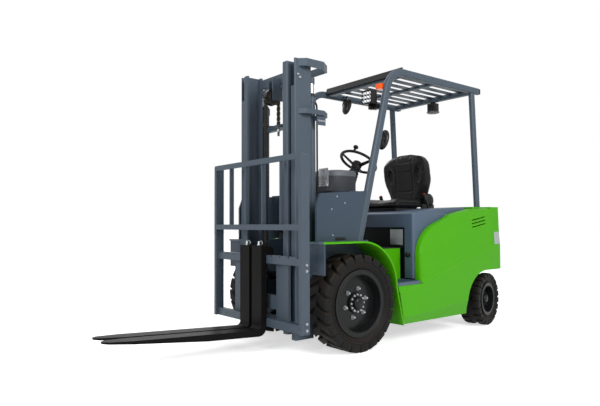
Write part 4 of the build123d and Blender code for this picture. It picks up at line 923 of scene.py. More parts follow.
@dataclass
class Mast:
    """Fittings of the two-stage mast: leaf chains, anchor stud, glands, lift pipe and bolts."""

    chain_x: Pair = (0.397, 0.277)
    chain_z: Triple = (0.36, 1.669, 1.869)
    wheel: Triple = (0.337, 0.0, 1.869)
    pitch: float = 0.0193
    plate_width: float = 0.0135
    plate_gauge: float = 0.0042
    plate_waist: float = 0.72
    pin_radius: float = 0.0032
    rows: int = 5
    chain_width: float = 0.038
    wheel_face: float = 0.0235
    cylinder: Pair = (0.195, 0.292)
    barrel_top: float = 1.84
    rail_bolts: tuple[Pair, ...] = ((0.345, 1.955), (0.363, 1.975))
    tie_bolts: tuple[Pair, ...] = ((0.150, 1.655), (0.172, 1.655), (0.194, 1.655))

    def build(self) -> None:
        """Builds every fitting of the mast."""
        low, anchor, top = self.chain_z
        front_x, rear_x = self.chain_x
        front = self._strand("leaf_chain_front", front_x, low, top)
        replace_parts(dress(front, OILED_STEEL), "chain_front")
        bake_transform(front)
        rear = self._strand("leaf_chain_rear", rear_x, anchor, top)
        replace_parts(dress(rear, OILED_STEEL), "chain_rear")
        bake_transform(rear)
        self._cylinders()
        self._bolts()

    def _link(self) -> Piece:
        """One link plate, waisted between its two eyes, standing along Z.

        Returns:
            The link.
        """
        half, eye = self.pitch / 2, self.plate_width / 2
        corners = []
        for sign in (1, -1):
            for turn in (-60, -20, 20, 60):
                angle = math.radians(90 - turn)
                corners.append(Vector((sign * eye * math.cos(angle), -self.plate_gauge / 2,
                                       sign * (half + eye * math.sin(angle)))))
            corners.append(Vector((sign * eye * self.plate_waist, -self.plate_gauge / 2, 0)))
        return Hand.plate("link", corners, Vector((0, self.plate_gauge, 0)), 0)

    def _strand(self, name: str, x: float, low: float, high: float) -> Piece:
        """Straight strand of leaf chain between two heights.

        Args:
            name: Name of the piece.
            x: Place of the strand along the truck.
            low: Lowest pin.
            high: Height that the strand reaches.

        Returns:
            The strand.
        """
        gap = self.chain_width / self.rows
        count = int((high - low) / self.pitch)
        places = []
        for row in range(self.rows):
            y = (row + 0.5) * gap - self.chain_width / 2
            for number in range(row % 2, count, 2):
                places.append(Matrix.Translation(at(x, y, low + self.pitch * (number + 0.5))))
        links = Hand.copies(self._link(), "links", places)
        half = self.chain_width / 2
        pin = Hand.turned("pin", [(-half, self.pin_radius), (half, self.pin_radius)], OUTWARD, 8)
        pins = Hand.copies(pin, "pins", [Matrix.Translation(at(x, 0, low + self.pitch * number))
                                         for number in range(count + 1)])
        return Hand.join(name, [links, pins])

    def _cylinders(self) -> None:
        """Black glands on the lift cylinders, the pipe beside the left one and the chain wheel's rings."""
        x, y = self.cylinder
        rings = [(0, 0.037), (0.012, 0.037), (0.016, 0.031), (0.026, 0.029), (0.030, 0.0235)]
        gland = Hand.turned("gland_rings", rings, Matrix.Translation(at(x, y, self.barrel_top)), 32, 0.001)
        fit(Hand.both_sides(gland), LAMP_BLACK, "outer_mast")
        bends = [(-0.030, 0.012, 0.20), (-0.046, 0.014, 0.30), (-0.046, 0.014, 1.0), (-0.046, 0.014, 1.74),
                 (-0.046, 0.012, 1.80), (-0.028, 0.004, 1.815)]
        pipe = Hand.tube("lift_pipe", [at(x + behind, y + beside, z) for behind, beside, z in bends], 0.007)
        fit(pipe, BLACK_ENAMEL, "outer_mast")
        face = Matrix.Translation(at(*self.wheel) + Vector((0, self.wheel_face, 0))) @ OUTWARD
        hub = Hand.ring("chain_wheel_ring", face, (0.036, 0.004), 40, 8)
        fit(Hand.both_sides(hub), OILED_STEEL, "inner_mast")

    def _bolts(self) -> None:
        """Bright bolts on the rails and ties, and the stud of the chain anchor."""
        spots = on_side("outer_rails", self.rail_bolts) + on_side("outer_ties", self.tie_bolts)
        bolts = Hand.both_sides(Hand.copies(Hand.bolt(0.015, 0.010), "mast_bolts", spots))
        fit(bolts, ZINC, "outer_mast")
        x, z = self.chain_x[1], self.chain_z[1]
        steps = [(-0.075, 0.007), (-0.052, 0.007), (-0.052, 0.014), (-0.034, 0.014), (-0.034, 0.007),
                 (-0.012, 0.007), (-0.010, 0.013), (0.0, 0.013)]
        stud = Hand.turned("anchor_stud", steps, Matrix.Translation(at(x, 0, z)), 12)
        fit(stud, ZINC, "outer_mast")


@dataclass
class Carriage:
    """Fork locks and bolts of the fork carriage."""

    bolts: tuple[Pair, ...] = ((0.468, 0.636), (0.468, 0.596), (0.468, 0.249), (0.468, 0.206))
    lock_x: float = 0.513
    fork_y: float = 0.078
    fork_top: float = 0.753

    def build(self) -> None:
        """Builds the locks on both forks and the bolts on both uprights."""
        spots = on_side("load_backrest", self.bolts)
        bolts = Hand.both_sides(Hand.copies(Hand.bolt(0.017, 0.010), "upright_bolts", spots))
        fit(bolts, ZINC, "fork_carriage")
        for side, sign in (("left", 1), ("right", -1)):
            above = at(self.lock_x, sign * self.fork_y, self.fork_top + 0.2)
            self._lock(side, surface(f"fork_{side}", above, (0, 0, -1))[0])

    def _lock(self, side: str, point: Vector) -> None:
        """Spring pin on a fork's top, with a bent wire handle.

        Args:
            side: Left or right.
            point: Foot of the pin.
        """
        steps = [(-0.004, 0.013), (0.010, 0.013), (0.012, 0.009), (0.030, 0.009), (0.033, 0.006)]
        pin = Hand.turned("pin", steps, Matrix.Translation(point), 18, 0.0008)
        reach = [(0, 0, 0.024), (0, 0.022, 0.036), (0, 0.040, 0.030), (0, 0.046, 0.014), (0, 0.036, 0.003)]
        wire = Hand.tube("wire", [point + Vector(step) for step in reach], 0.0028)
        fit(Hand.join(f"fork_lock_{side}", [pin, wire]), ZINC, f"{side}_fork")


@dataclass
class Bodywork:
    """Blank plates, knob, crown, bolts and trim of the body."""

    plate_y: Pair = (0.262, 0.398)
    plate_z: Pair = (0.735, 0.862)
    catch: Pair = (0.470, 0.66)
    crown_half: float = 0.515
    crown_side: tuple[Pair, ...] = ((-0.690, 0.990), (-0.720, 1.0035), (-0.980, 1.030), (-1.210, 1.043),
                                    (-1.360, 1.047), (-1.380, 0.990))
    cap_corners: tuple[Triple, Triple] = ((0.338, 0.300, 0.7700), (0.349, 0.6020, 0.7845))
    side_plate_x: Pair = (-1.783, -1.706)
    side_plate_z: Pair = (0.72, 0.83)
    side_plate_gauge: float = 0.0015
    side_plate_gap: float = 0.0002
    dash_bolts: tuple[Pair, ...] = ((0.131, 1.103), (0.055, 1.058), (0.184, 1.012), (0.174, 0.827))
    slot_x: Pair = (0.046, 0.152)
    slot_z: Pair = (0.790, 0.814)

    def build(self) -> None:
        """Builds the trim of the body and the hood."""
        point, _ = surface("front_panel", at(0, 0.3, 0.8), (-1, 0, 0))
        plate = Hand.block("blank_plate", Vector((point.x, self.plate_y[0], self.plate_z[0])),
                           Vector((point.x + 0.003, self.plate_y[1], self.plate_z[1])), 0.001)
        fit(plate, PLATE_SILVER, "chassis")
        point, _ = surface("battery_hood", at(0, *self.catch), (-1, 0, 0))
        steps = [(0, 0.016), (0.006, 0.016), (0.008, 0.010), (0.016, 0.010), (0.018, 0.019), (0.026, 0.020),
                 (0.031, 0.015), (0.033, 0.004)]
        knob = Hand.turned("hood_catch", steps, facing(point, (1, 0, 0)), 24)
        fit(knob, LAMP_BLACK, "hood")
        self._side_plate()
        self._hood_crown()
        low, high = self.cap_corners
        # The fender caps take the slate with painted light.
        cap = Hand.block("fender_cap", at(*low), at(*high), 0.001)
        fit(Hand.both_sides(cap), SLATE_PAINTED_LIGHT, "chassis")
        spots = on_side("dash", self.dash_bolts)
        bolts = Hand.both_sides(Hand.copies(Hand.bolt(0.010, 0.006), "dash_bolts", spots))
        fit(bolts, ZINC, "chassis")
        # A black block on the dash's face stands for the dark inside each slot: painted shade.
        point, _ = surface("dash", at(0.1, BESIDE_Y, 0.80), (0, -1, 0))
        slot = Hand.block("dash_slot_shade", at(self.slot_x[0], point.y - 0.002, self.slot_z[0]),
                          at(self.slot_x[1], point.y + 0.0012, self.slot_z[1]), 0.001)
        fit(Hand.both_sides(slot), LAMP_BLACK, "chassis")

    def _hood_crown(self) -> None:
        """Rising crown on the hood, highest at its rear."""
        corners = [at(x, -self.crown_half, z) for x, z in self.crown_side]
        crown = Hand.plate("hood_crown", corners, Vector((0, 2 * self.crown_half, 0)), 0.010, 3)
        # The crown takes the slate with painted light.
        fit(crown, SLATE_PAINTED_LIGHT, "hood")

    def _side_plate(self) -> None:
        """Thin pale plate laid on the curved side of the counterweight."""
        Hand.only()
        bpy.ops.mesh.primitive_grid_add(x_subdivisions=6, y_subdivisions=5, size=1)
        plate = Hand.settle("side_plate")
        for vertex in plate.data.vertices:
            x = self.side_plate_x[0] + (self.side_plate_x[1] - self.side_plate_x[0]) * (0.5 - vertex.co.x)
            z = self.side_plate_z[0] + (self.side_plate_z[1] - self.side_plate_z[0]) * (vertex.co.y + 0.5)
            point, _ = surface("counterweight", at(x, BESIDE_Y, z), (0, -1, 0))
            vertex.co = point + Vector((0, self.side_plate_gap, 0))
        Hand.outward(plate)
        wall = plate.modifiers.new("gauge", "SOLIDIFY")
        wall.thickness = self.side_plate_gauge
        wall.offset = 1
        bpy.ops.object.modifier_apply(modifier=wall.name)
        fit(Hand.smooth(plate), PLATE_SILVER, "chassis")


@dataclass
class Cab:
    """Steering wheel, column boot, instrument pod and clear sheet."""

    wheel: Triple = (-0.52, 0.06, 1.432)
    lean: float = 32.0
    rim: float = 0.155
    grip: float = 0.0135
    knob_turn: float = 26.0
    spokes: Triple = (90, 210, 330)
    boot_folds: int = 6
    boot_foot: float = -0.255
    boot_radius: float = 0.062
    boot_end: Pair = (-0.093, 0.036)
    fold_pitch: float = 0.026
    fold_taper: float = 0.0035
    fold_depth: float = 0.006
    pod_x: float = -0.205
    pod_half: Pair = (0.140, 0.228)
    pod_corners: tuple[Triple, ...] = ((1, 1, 0.11), (-1, 1, 0.04), (-1, -1, 0.04), (1, -1, 0.11))
    pod_shell: tuple[Level, ...] = ((1.1505, 0, 0.90, 0.93), (1.156, 0, 0.96, 0.97), (1.168, 0, 1, 1),
                                    (1.288, -0.012, 0.93, 0.985))
    pod_top: tuple[Level, ...] = ((1.287, -0.012, 0.94, 0.992), (1.316, -0.016, 0.91, 0.985),
                                  (1.328, -0.018, 0.88, 0.965), (1.334, -0.018, 0.82, 0.92),
                                  (1.336, -0.018, 0.70, 0.85))
    sheet_corners: tuple[Triple, Triple] = ((-0.064, 0.080, 1.20), (-0.060, 0.190, 1.345))

    def build(self) -> None:
        """Builds the driver's controls."""
        place = Matrix.Translation(at(*self.wheel)) @ turned_by(-self.lean, "Y")
        folds = []
        for number in range(self.boot_folds):
            height = self.boot_foot + number * self.fold_pitch
            radius = self.boot_radius - number * self.fold_taper
            folds += [(height, radius - self.fold_depth), (height + 0.008, radius), (height + 0.016, radius)]
        boot = Hand.turned("column_boot", [*folds, self.boot_end], place, 36)
        fit(boot, GRIP_BLACK, "chassis")
        self._hand_wheel(place)
        self._pod()
        low, high = self.sheet_corners
        sheet = Hand.block("clear_sheet", at(*low), at(*high), 0.0012)
        fit(sheet, CLEAR_LENS, "chassis")

    def _hand_wheel(self, place: Matrix) -> None:
        """Steering wheel: grip ring, three dished spokes, hub and spinner knob.

        Args:
            place: Centre of the wheel, with its axis along Z.
        """
        ring = Hand.ring("grip", place, (self.rim, self.grip), 64, 14)
        end = self.rim - 0.006
        corners = ((0.030, -0.019, -0.046), (end, -0.012, -0.006), (end, 0.012, -0.006),
                   (0.030, 0.019, -0.046))
        spoke = Hand.plate("spoke", [Vector(corner) for corner in corners], Vector((0, 0, 0.010)), 0.003)
        turns = [place @ turned_by(angle, "Z") for angle in self.spokes]
        steps = [(-0.075, 0.034), (-0.060, 0.041), (-0.020, 0.043), (-0.010, 0.040), (-0.004, 0.030),
                 (-0.002, 0.006)]
        hub = Hand.turned("hub", steps, place, 36)
        foot = place @ turned_by(self.knob_turn, "Z") @ Matrix.Translation((self.rim, 0, 0))
        steps = [(0, 0.010), (0.030, 0.009), (0.034, 0.018), (0.042, 0.022), (0.050, 0.021), (0.057, 0.014),
                 (0.060, 0.004)]
        knob = Hand.turned("knob", steps, foot, 28)
        wheel = Hand.join("steering_ring", [ring, Hand.copies(spoke, "spokes", turns), hub, knob])
        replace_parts(fit(wheel, GRIP_BLACK, "hand_wheel"), "steering_wheel")

    def _pod(self) -> None:
        """Moulded instrument pod with broad round corners and a paler top."""
        long, broad = self.pod_half
        plan = []
        for quarter, (x, y, radius) in enumerate(self.pod_corners):
            for step in range(8):
                angle = math.radians(90 * quarter + 90 * step / 7)
                plan.append((x * (long - radius) + radius * math.cos(angle),
                             y * (broad - radius) + radius * math.sin(angle)))
        place = at(self.pod_x, 0, 0)
        shell = Hand.stack("instrument_pod", plan, self.pod_shell, place)
        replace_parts(fit(shell, CAB_PLASTIC, "chassis"), "instrument_cowl")
        top = Hand.stack("pod_top", plan, self.pod_top, place)
        fit(top, PALE_PLASTIC, "chassis")


@dataclass
class Guard:
    """Roof bars, lamp faces, mirrors and the beacon of the overhead guard."""

    roof_half: float = 0.4577
    roof_top: float = 2.144
    beams: tuple[Triple, ...] = ((-0.690, -0.640, 2.106), (-1.150, -1.100, 2.118), (-1.640, -1.590, 2.098))
    slats: int = 7
    slat_width: float = 0.062
    slat_gauge: float = 0.007
    slat_drop: float = 0.003
    mirrors: tuple[Triple, ...] = ((-0.4545, 0.412, 1.572), (-0.8425, -0.412, 2.03))
    mirror_half: Pair = (0.084, 0.054)
    mirror_lean: float = -16.0
    mirror_shell: tuple[Pair, ...] = ((-0.030, 0.35), (-0.024, 0.75), (-0.012, 0.95), (0, 1.0),
                                      (0.006, 0.97))
    mirror_face: tuple[Pair, ...] = ((0.005, 0.93), (0.0075, 0.93), (0.0085, 0.88))
    lamp: Triple = (-0.285, 0.396, 1.893)
    cell_pitch: Pair = (0.0285, 0.0310)
    lamp_half: Pair = (0.050, 0.055)
    frame_bars: Pair = (0.007, 0.008)
    frame_depth: Pair = (-0.004, 0.007)
    beacon: Triple = (-1.616, 0.0, 1.990)
    case_half: Pair = (0.036, 0.046)
    case_z: Pair = (0.018, 0.098)

    def build(self) -> None:
        """Builds the roof, lamps, mirrors and beacon."""
        self._roof()
        self._work_lamp()
        self._beacon()
        self._mirrors("mirror_shells", self.mirror_shell, LAMP_BLACK)
        self._mirrors("mirror_glass", self.mirror_face, MIRROR_GLASS)

    def _mirrors(self, name: str, steps: tuple[Pair, ...], finish: Finish) -> None:
        """One layer of both oval mirrors.

        Args:
            name: Name of the piece.
            steps: Height and share of the oval's size at each ring.
            finish: Finish of the layer.
        """
        tall, wide = self.mirror_half
        layers = []
        for place in self.mirrors:
            turn = turned_by(self.mirror_lean, "Y") @ turned_by(-90, "Y") @ turned_by(90, "Z")
            layer = Hand.turned("layer", list(steps), HERE, 40)
            layer.data.transform(Matrix.Translation(at(*place)) @ turn @ Matrix.Diagonal((wide, tall, 1, 1)))
            layers.append(Hand.outward(layer))
        fit(Hand.join(name, layers), finish, "chassis")

    def _roof(self) -> None:
        """Three cross beams and the thin pressed bars that lie on them."""
        half = self.roof_half
        pieces = [Hand.block("beam", at(rear, -half, foot), at(front, half, self.roof_top), 0.003)
                  for rear, front, foot in self.beams]
        pitch = 2 * half / (self.slats + 1)
        top = self.roof_top - self.slat_drop
        bar = Hand.block("bar", at(self.beams[-1][1] - 0.01, -self.slat_width / 2, top - self.slat_gauge),
                         at(self.beams[0][1] - 0.01, self.slat_width / 2, top), 0.0015)
        places = [Matrix.Translation((0, pitch * (number + 1) - half, 0)) for number in range(self.slats)]
        pieces.append(Hand.copies(bar, "bars", places))
        roof = fit(Hand.join("roof_bars", pieces), SLATE_ENAMEL, "chassis")
        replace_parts(roof, "guard_roof")

    def _work_lamp(self) -> None:
        """Silvered cells and a raised frame on the face of each work lamp."""
        x, y, z = self.lamp
        cell = Hand.turned("cell", [(0, 0.0150), (0.003, 0.0150), (0.0045, 0.0125), (0.0008, 0.005)], HERE, 8)
        across, up = self.cell_pitch
        places = [facing(at(x, y + (column - 1) * across, z + (row - 1) * up), (1, 0, 0))
                  for row in range(3) for column in range(3)]
        fit(Hand.both_sides(Hand.copies(cell, "lamp_cells", places)), REFLECTOR, "chassis")
        wide, tall = self.lamp_half
        post, rail = self.frame_bars
        back, front = (x + depth for depth in self.frame_depth)
        bars = [Hand.block("edge", at(back, y - wide, z + end), at(front, y + wide, z + end + rail), 0.002)
                for end in (-tall, tall - rail)]
        bars += [Hand.block("edge", at(back, y + end, z - tall), at(front, y + end + post, z + tall), 0.002)
                 for end in (-wide, wide - post)]
        fit(Hand.both_sides(Hand.join("lamp_frames", bars)), LAMP_BLACK, "chassis")

    def _beacon(self) -> None:
        """Black housing over the beacon's bracket and a pale round lens under it."""
        x, y, z = self.beacon
        long, wide = self.case_half
        low, high = self.case_z
        case = Hand.block("beacon_case", at(x - long, y - wide, z + low), at(x + long, y + wide, z + high),
                          0.008, None, 3)
        fit(case, LAMP_BLACK, "chassis")
        steps = [(0, 0.030), (0.003, 0.054), (0.009, 0.062), (0.015, 0.062), (0.020, 0.050)]
        lens = Hand.turned("beacon_lens", steps, Matrix.Translation(at(x, y, z)), 40, 0.001)
        fit(lens, PALE_PLASTIC, "chassis")


@dataclass
class DriverSeat:
    """Foam cushion and winged back in black vinyl, with buckles, recliner covers and a boot."""

    cushion_x: Pair = (-1.138, -0.797)
    cushion_half: float = 0.243
    cushion_z: Pair = (1.0450, 1.1275)
    dish_depth: float = 0.016
    dish_half: float = 0.17
    roll_drop: float = 0.020
    roll_start: float = -0.90
    roll_length: float = 0.10
    channel: Pair = (-0.985, 0.165)
    channel_width: float = 0.006
    channel_depth: float = 0.005
    groove_rise: float = 0.036
    groove_width: float = 0.005
    groove_depth: float = 0.004
    back_low: float = 1.046
    back_top: float = 1.560
    back_foot: float = 0.163
    back_wing: float = 0.258
    wing_drop: float = 0.22
    wing_curl: Pair = (0.022, 0.050)
    back_front: float = -1.158
    back_rear: float = -1.248
    front_hollow: float = 0.030
    rear_bulge: float = 0.074
    seam_y: float = 0.098
    seam_z: Pair = (1.10, 1.515)
    seam_heights: Triple = (1.20, 1.385, 1.47)
    seam_reach: float = 0.1
    seam_sag: float = 0.9
    seam_width: float = 0.0055
    seam_depth: float = 0.0055
    hole_place: Pair = (0.172, 1.345)
    hole_half: Pair = (0.070, 0.031)
    buckle: Triple = (-1.152, 0.262, 1.118)
    recliner: Triple = (-1.275, 0.185, 1.118)
    bracket_corners: tuple[Triple, Triple] = ((-1.345, 0.180, 1.002), (-1.175, 0.212, 1.085))
    boot_corners: tuple[Triple, Triple] = ((-1.225, -0.213, 1.0008), (-0.822, 0.213, 1.040))
    swell: float = 0.008
    inset: float = 0.006
    voxel: float = 0.006

    def build(self) -> None:
        """Builds the soft pieces and what is fixed to them."""
        cushion = self._cushion()
        fit(cushion, SEAT_VINYL, "hood")
        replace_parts(cushion, "seat_cushion")
        back = self._back()
        fit(back, SEAT_VINYL, "hood")
        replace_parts(back, "seat_back")
        self._buckles()

    def _cushion(self) -> Piece:
        """Cushion with a rolled front, raised bolsters and sewn channels.

        Returns:
            The cushion.
        """
        rear, front = self.cushion_x
        low, high = self.cushion_z
        half = self.cushion_half - self.inset
        piece = Hand.block("cushion_pad", at(rear + self.inset, -half, low + self.inset),
                           at(front - self.inset, half, high - self.inset), 0.028, None, 5)
        self._soften(piece)
        for vertex in piece.data.vertices:
            x, y, z = vertex.co.x - AXLE_X, vertex.co.y, vertex.co.z
            lift = (z - low) / (high - low)
            dish = self.dish_depth * max(0.0, 1 - (y / self.dish_half) ** 2) * lift
            roll = self.roll_drop * max(0.0, (x - self.roll_start) / self.roll_length) ** 2 * lift
            vertex.co.z = z - dish - roll
        Hand.stuff(piece, self.voxel, self.swell)
        cross_x, side_y = self.channel
        for vertex in piece.data.vertices:
            x, y = vertex.co.x - AXLE_X, vertex.co.y
            if vertex.normal.z > 0.5:
                side = math.exp(-((abs(y) - side_y) / self.channel_width) ** 2)
                cross = math.exp(-((x - cross_x) / self.channel_width) ** 2) if abs(y) < side_y else 0.0
                vertex.co.z -= self.channel_depth * max(side, cross)
            elif abs(vertex.normal.z) < 0.5:
                share = math.exp(-((vertex.co.z - low - self.groove_rise) / self.groove_width) ** 2)
                vertex.co -= vertex.normal * self.groove_depth * share
        return self._finish(piece)

    def _flank(self, z: float) -> float:
        """Half width of the back at a height.

        Args:
            z: Height.

        Returns:
            Distance from the middle to the edge.
        """
        middle = self.back_top - self.wing_drop
        if z < middle:
            share = (z - self.back_low) / (middle - self.back_low)
            flare = 0.5 - 0.5 * math.cos(math.pi * share)
            return self.back_foot + (self.back_wing - self.back_foot) * flare
        share = min((z - middle) / (self.back_top - 0.004 - middle), 1)
        return self.back_wing * (1 - share ** 4.0) ** 0.38

    def _back(self) -> Piece:
        """Winged back with a hand hole in each wing and sewn panels.

        Returns:
            The back.
        """
        heights = [self.back_low + self.inset + (self.back_top - 2 * self.inset - self.back_low) * n / 24
                   for n in range(25)]
        left = [Vector((0, max(self._flank(z) - self.inset, 0.03), z)) for z in heights]
        right = [Vector((0, -corner.y, corner.z)) for corner in reversed(left)]
        piece = Hand.plate("back_pad", left + right, Vector((-1, 0, 0)), 0)
        Hand.outward(piece)
        piece.data.transform(Matrix.Diagonal((0.1, 1, 1, 1)))
        for sign in (1, -1):
            self._hand_hole(piece, sign)
        self._soften(piece)
        for vertex in piece.data.vertices:
            vertex.co.x = self._back_x(-vertex.co.x / 0.1, vertex.co.y, vertex.co.z)
        Hand.stuff(piece, self.voxel, self.swell)
        low, high = self.seam_z
        for vertex in piece.data.vertices:
            y, z = vertex.co.y, vertex.co.z
            if vertex.normal.x > 0.4:
                side = math.exp(-((abs(y) - self.seam_y) / self.seam_width) ** 2) if low < z < high else 0.0
                across = max(math.exp(-((z - height - self.seam_sag * y * y) / self.seam_width) ** 2)
                             for height in self.seam_heights)
                vertex.co.x -= self.seam_depth * max(side, across if abs(y) < self.seam_reach else 0.0)
        return self._finish(piece)

    def _hand_hole(self, piece: Piece, sign: int) -> None:
        """Cuts the oval hole in one wing.

        Args:
            piece: The back.
            sign: 1 for the left wing and -1 for the right.
        """
        y, z = self.hole_place
        tall, wide = self.hole_half
        tool = Hand.turned("hole", [(-0.3, 1.0), (0.3, 1.0)], HERE, 24)
        tool.data.transform(Matrix.Translation((0, sign * y, z)) @ turned_by(90, "Y")
                            @ Matrix.Diagonal((tall, wide, 1, 1)))
        Hand.outward(tool)
        Hand.only(piece)
        cut = piece.modifiers.new("hand_hole", "BOOLEAN")
        cut.object = tool
        bpy.ops.object.modifier_apply(modifier=cut.name)
        bpy.data.objects.remove(tool)

    def _back_x(self, depth: float, y: float, z: float) -> float:
        """Place along the truck of a point of the back.

        Args:
            depth: 0 on the front face, 1 on the rear face.
            y: Place across the seat.
            z: Height.

        Returns:
            X in the truck's frame.
        """
        share = (z - self.back_low) / (self.back_top - self.back_low)
        wing = min(abs(y) / self.back_wing, 1.0) ** 2
        front = self.back_front - self.front_hollow * math.sin(math.pi * min(share * 1.25, 1))
        front -= self.front_hollow * max(share - 0.75, 0) * 4 * share
        bulge = math.sin(math.pi * min(max(share, 0) ** 0.8, 1))
        rear = self.back_rear - self.rear_bulge * bulge + 0.02 * share
        front += self.wing_curl[0] * wing * math.sin(math.pi * min(share, 1))
        rear += self.wing_curl[1] * wing * math.sin(math.pi * min(max(share, 0.0), 1))
        return AXLE_X + front - self.inset + (rear - front + 2 * self.inset) * depth

    def _soften(self, piece: Piece) -> None:
        """Gives a piece an even mesh.

        Args:
            piece: The piece.
        """
        Hand.only(piece)
        piece.data.remesh_voxel_size = self.voxel
        bpy.ops.object.voxel_remesh()

    def _finish(self, piece: Piece) -> Piece:
        """Divides the skin once and shades it smooth.

        Args:
            piece: The piece.

        Returns:
            The piece.
        """
        Hand.only(piece)
        tool = piece.modifiers.new("skin", "SUBSURF")
        tool.levels = 1
        tool.render_levels = 1
        bpy.ops.object.modifier_apply(modifier=tool.name)
        bpy.ops.object.shade_smooth()
        return piece

    def _buckles(self) -> None:
        """Belt buckles with red buttons, recliner covers and the boot under the cushion."""
        bends = ((-1.19, 0.262, 1.045), (-1.17, 0.264, 1.09), (-1.15, 0.262, 1.13))
        stalk = Hand.tube("stalk", [at(*bend) for bend in bends], 0.009)
        place = facing(at(*self.buckle), (0.3, 0, 1))
        case = Hand.block("case", (-0.016, -0.010, 0), (0.016, 0.010, 0.055), 0.004, place)
        fit(Hand.both_sides(Hand.join("belt_buckles", [stalk, case])), LAMP_BLACK, "hood")
        button = Hand.block("buckle_buttons", (-0.012, -0.007, 0.052), (0.012, 0.007, 0.060), 0.003, place)
        fit(Hand.both_sides(button), RED_ABS, "hood")
        cover = Hand.turned("cover", [(0, 0.064), (0.022, 0.062), (0.031, 0.052), (0.035, 0.034)],
                            Matrix.Translation(at(*self.recliner)) @ OUTWARD, 32, 0.002)
        low, high = self.bracket_corners
        bracket = Hand.block("bracket", at(*low), at(*high), 0.012, None, 3)
        covers = Hand.both_sides(Hand.join("recliner_covers", [cover, bracket]))
        fit(covers, LAMP_BLACK, "hood")
        low, high = self.boot_corners
        boot = Hand.block("seat_boot", at(*low), at(*high), 0.010, None, 3)
        fit(boot, GRIP_BLACK, "hood")


@dataclass
class Studio:
    """Pale floor, white surround, softboxes and the camera of the photograph."""

    ambient: float = 0.32
    floor_glow: Pair = (0.60, 0.86)
    glow_reach: Pair = (1.5, 6.0)
    floor_size: float = 80.0
    floor_edge: float = 30.0
    floor_drop: float = 0.0005
    camera_place: Triple = (2.9766, 3.3838, 0.9104)
    yaw: float = -128.633
    pitch: float = 2.156
    roll: float = -0.212
    lens: float = 32.97
    sensor: float = 36.0
    boxes: tuple[tuple[Triple, Triple, float, float], ...] = (
        ((0.6, 6.4, 4.4), (0.0, 0.3, 0.8), 3.2, 390.0),
        ((5.6, 1.4, 3.4), (0.3, 0.0, 1.0), 3.0, 210.0),
        ((-1.5, -5.0, 4.5), (0.0, 0.0, 1.0), 3.0, 120.0))

    def build(self) -> None:
        """Builds the surround, the lights and the camera."""
        scene = bpy.context.scene
        scene.view_settings.view_transform = "Standard"
        self._world(scene)
        self._floor()
        for number, (place, target, size, power) in enumerate(self.boxes):
            lamp = bpy.data.lights.new(f"softbox_{number}", "AREA")
            lamp.energy = power
            lamp.size = size
            holder = bpy.data.objects.new(lamp.name, lamp)
            holder.location = place
            holder.rotation_euler = (Vector(target) - Vector(place)).to_track_quat("-Z", "Y").to_euler()
            scene.collection.objects.link(holder)
        self._camera(scene)

    def _backdrop(self, tree: Tree) -> Node:
        """Gives 1 for rays that see the surround, from the eye or by way of metal and glass.

        Args:
            tree: Nodes of the surround or the floor.

        Returns:
            The node that holds the value.
        """
        path = add(tree, "ShaderNodeLightPath")
        seen = add(tree, "ShaderNodeMath", {"operation": "MAXIMUM"},
                   {0: (path, "Is Camera Ray"), 1: (path, "Is Glossy Ray")})
        return add(tree, "ShaderNodeMath", {"operation": "MAXIMUM"},
                   {0: (seen, "Value"), 1: (path, "Is Transmission Ray")})

    def _world(self, scene: bpy.types.Scene) -> None:
        """White surround that lights the truck at a plain level.

        Args:
            scene: Scene that takes the surround.
        """
        world = bpy.data.worlds.new("surround")
        world.use_nodes = True
        tree = world.node_tree
        tree.nodes.clear()
        level = add(tree, "ShaderNodeMapRange", {"To Min": self.ambient, "To Max": 1.0},
                    {"Value": (self._backdrop(tree), "Value")})
        back = add(tree, "ShaderNodeBackground", {"Color": (1, 1, 1, 1)}, {"Strength": (level, "Result")})
        add(tree, "ShaderNodeOutputWorld", None, {"Surface": (back, "Background")})
        scene.world = world

    def _floor(self) -> None:
        """Pale floor that runs out to white and keeps the shadow."""
        Hand.only()
        bpy.ops.mesh.primitive_plane_add(size=self.floor_size)
        bpy.ops.object.mode_set(mode="EDIT")
        bpy.ops.mesh.inset(thickness=self.floor_edge)
        bpy.ops.object.mode_set(mode="OBJECT")
        floor = Hand.settle("floor", Matrix.Translation((0, 0, -self.floor_drop)))
        made = bpy.data.materials.new("matt_pale_paint")
        made.use_nodes = True
        tree = made.node_tree
        tree.nodes.clear()
        place = add(tree, "ShaderNodeTexCoord")
        away = add(tree, "ShaderNodeVectorMath", {"operation": "LENGTH"}, {0: (place, "Object")})
        level = add(tree, "ShaderNodeMapRange",
                    {"From Min": self.glow_reach[0], "From Max": self.glow_reach[1],
                     "To Min": self.floor_glow[0], "To Max": self.floor_glow[1]}, {"Value": (away, "Value")})
        glow = add(tree, "ShaderNodeMath", {"operation": "MULTIPLY"},
                   {0: (self._backdrop(tree), "Value"), 1: (level, "Result")})
        shader = add(tree, "ShaderNodeBsdfPrincipled", {"Base Color": linear("E9E9E9"), "Roughness": 0.9,
                                                        "Emission Color": (1, 1, 1, 1)},
                     {"Emission Strength": (glow, "Value")})
        add(tree, "ShaderNodeOutputMaterial", None, {"Surface": (shader, "BSDF")})
        floor.data.materials.append(made)

    def _camera(self, scene: bpy.types.Scene) -> None:
        """Camera at the place that the photograph was taken from.

        Args:
            scene: Scene that takes the camera.
        """
        yaw, pitch, roll = (math.radians(angle) for angle in (self.yaw, self.pitch, self.roll))
        ahead = Vector((math.cos(yaw) * math.cos(pitch), math.sin(yaw) * math.cos(pitch), math.sin(pitch)))
        right = Vector((math.sin(yaw), -math.cos(yaw), 0))
        up = right.cross(ahead)
        across = right * math.cos(roll) + up * math.sin(roll)
        upward = up * math.cos(roll) - right * math.sin(roll)
        lens = bpy.data.cameras.new("photo_view")
        lens.lens = self.lens
        lens.sensor_width = self.sensor
        holder = bpy.data.objects.new("photo_view", lens)
        turn = Matrix((across, upward, -ahead)).transposed().to_4x4()
        holder.matrix_world = Matrix.Translation(self.camera_place) @ turn
        scene.collection.objects.link(holder)
        scene.camera = holder


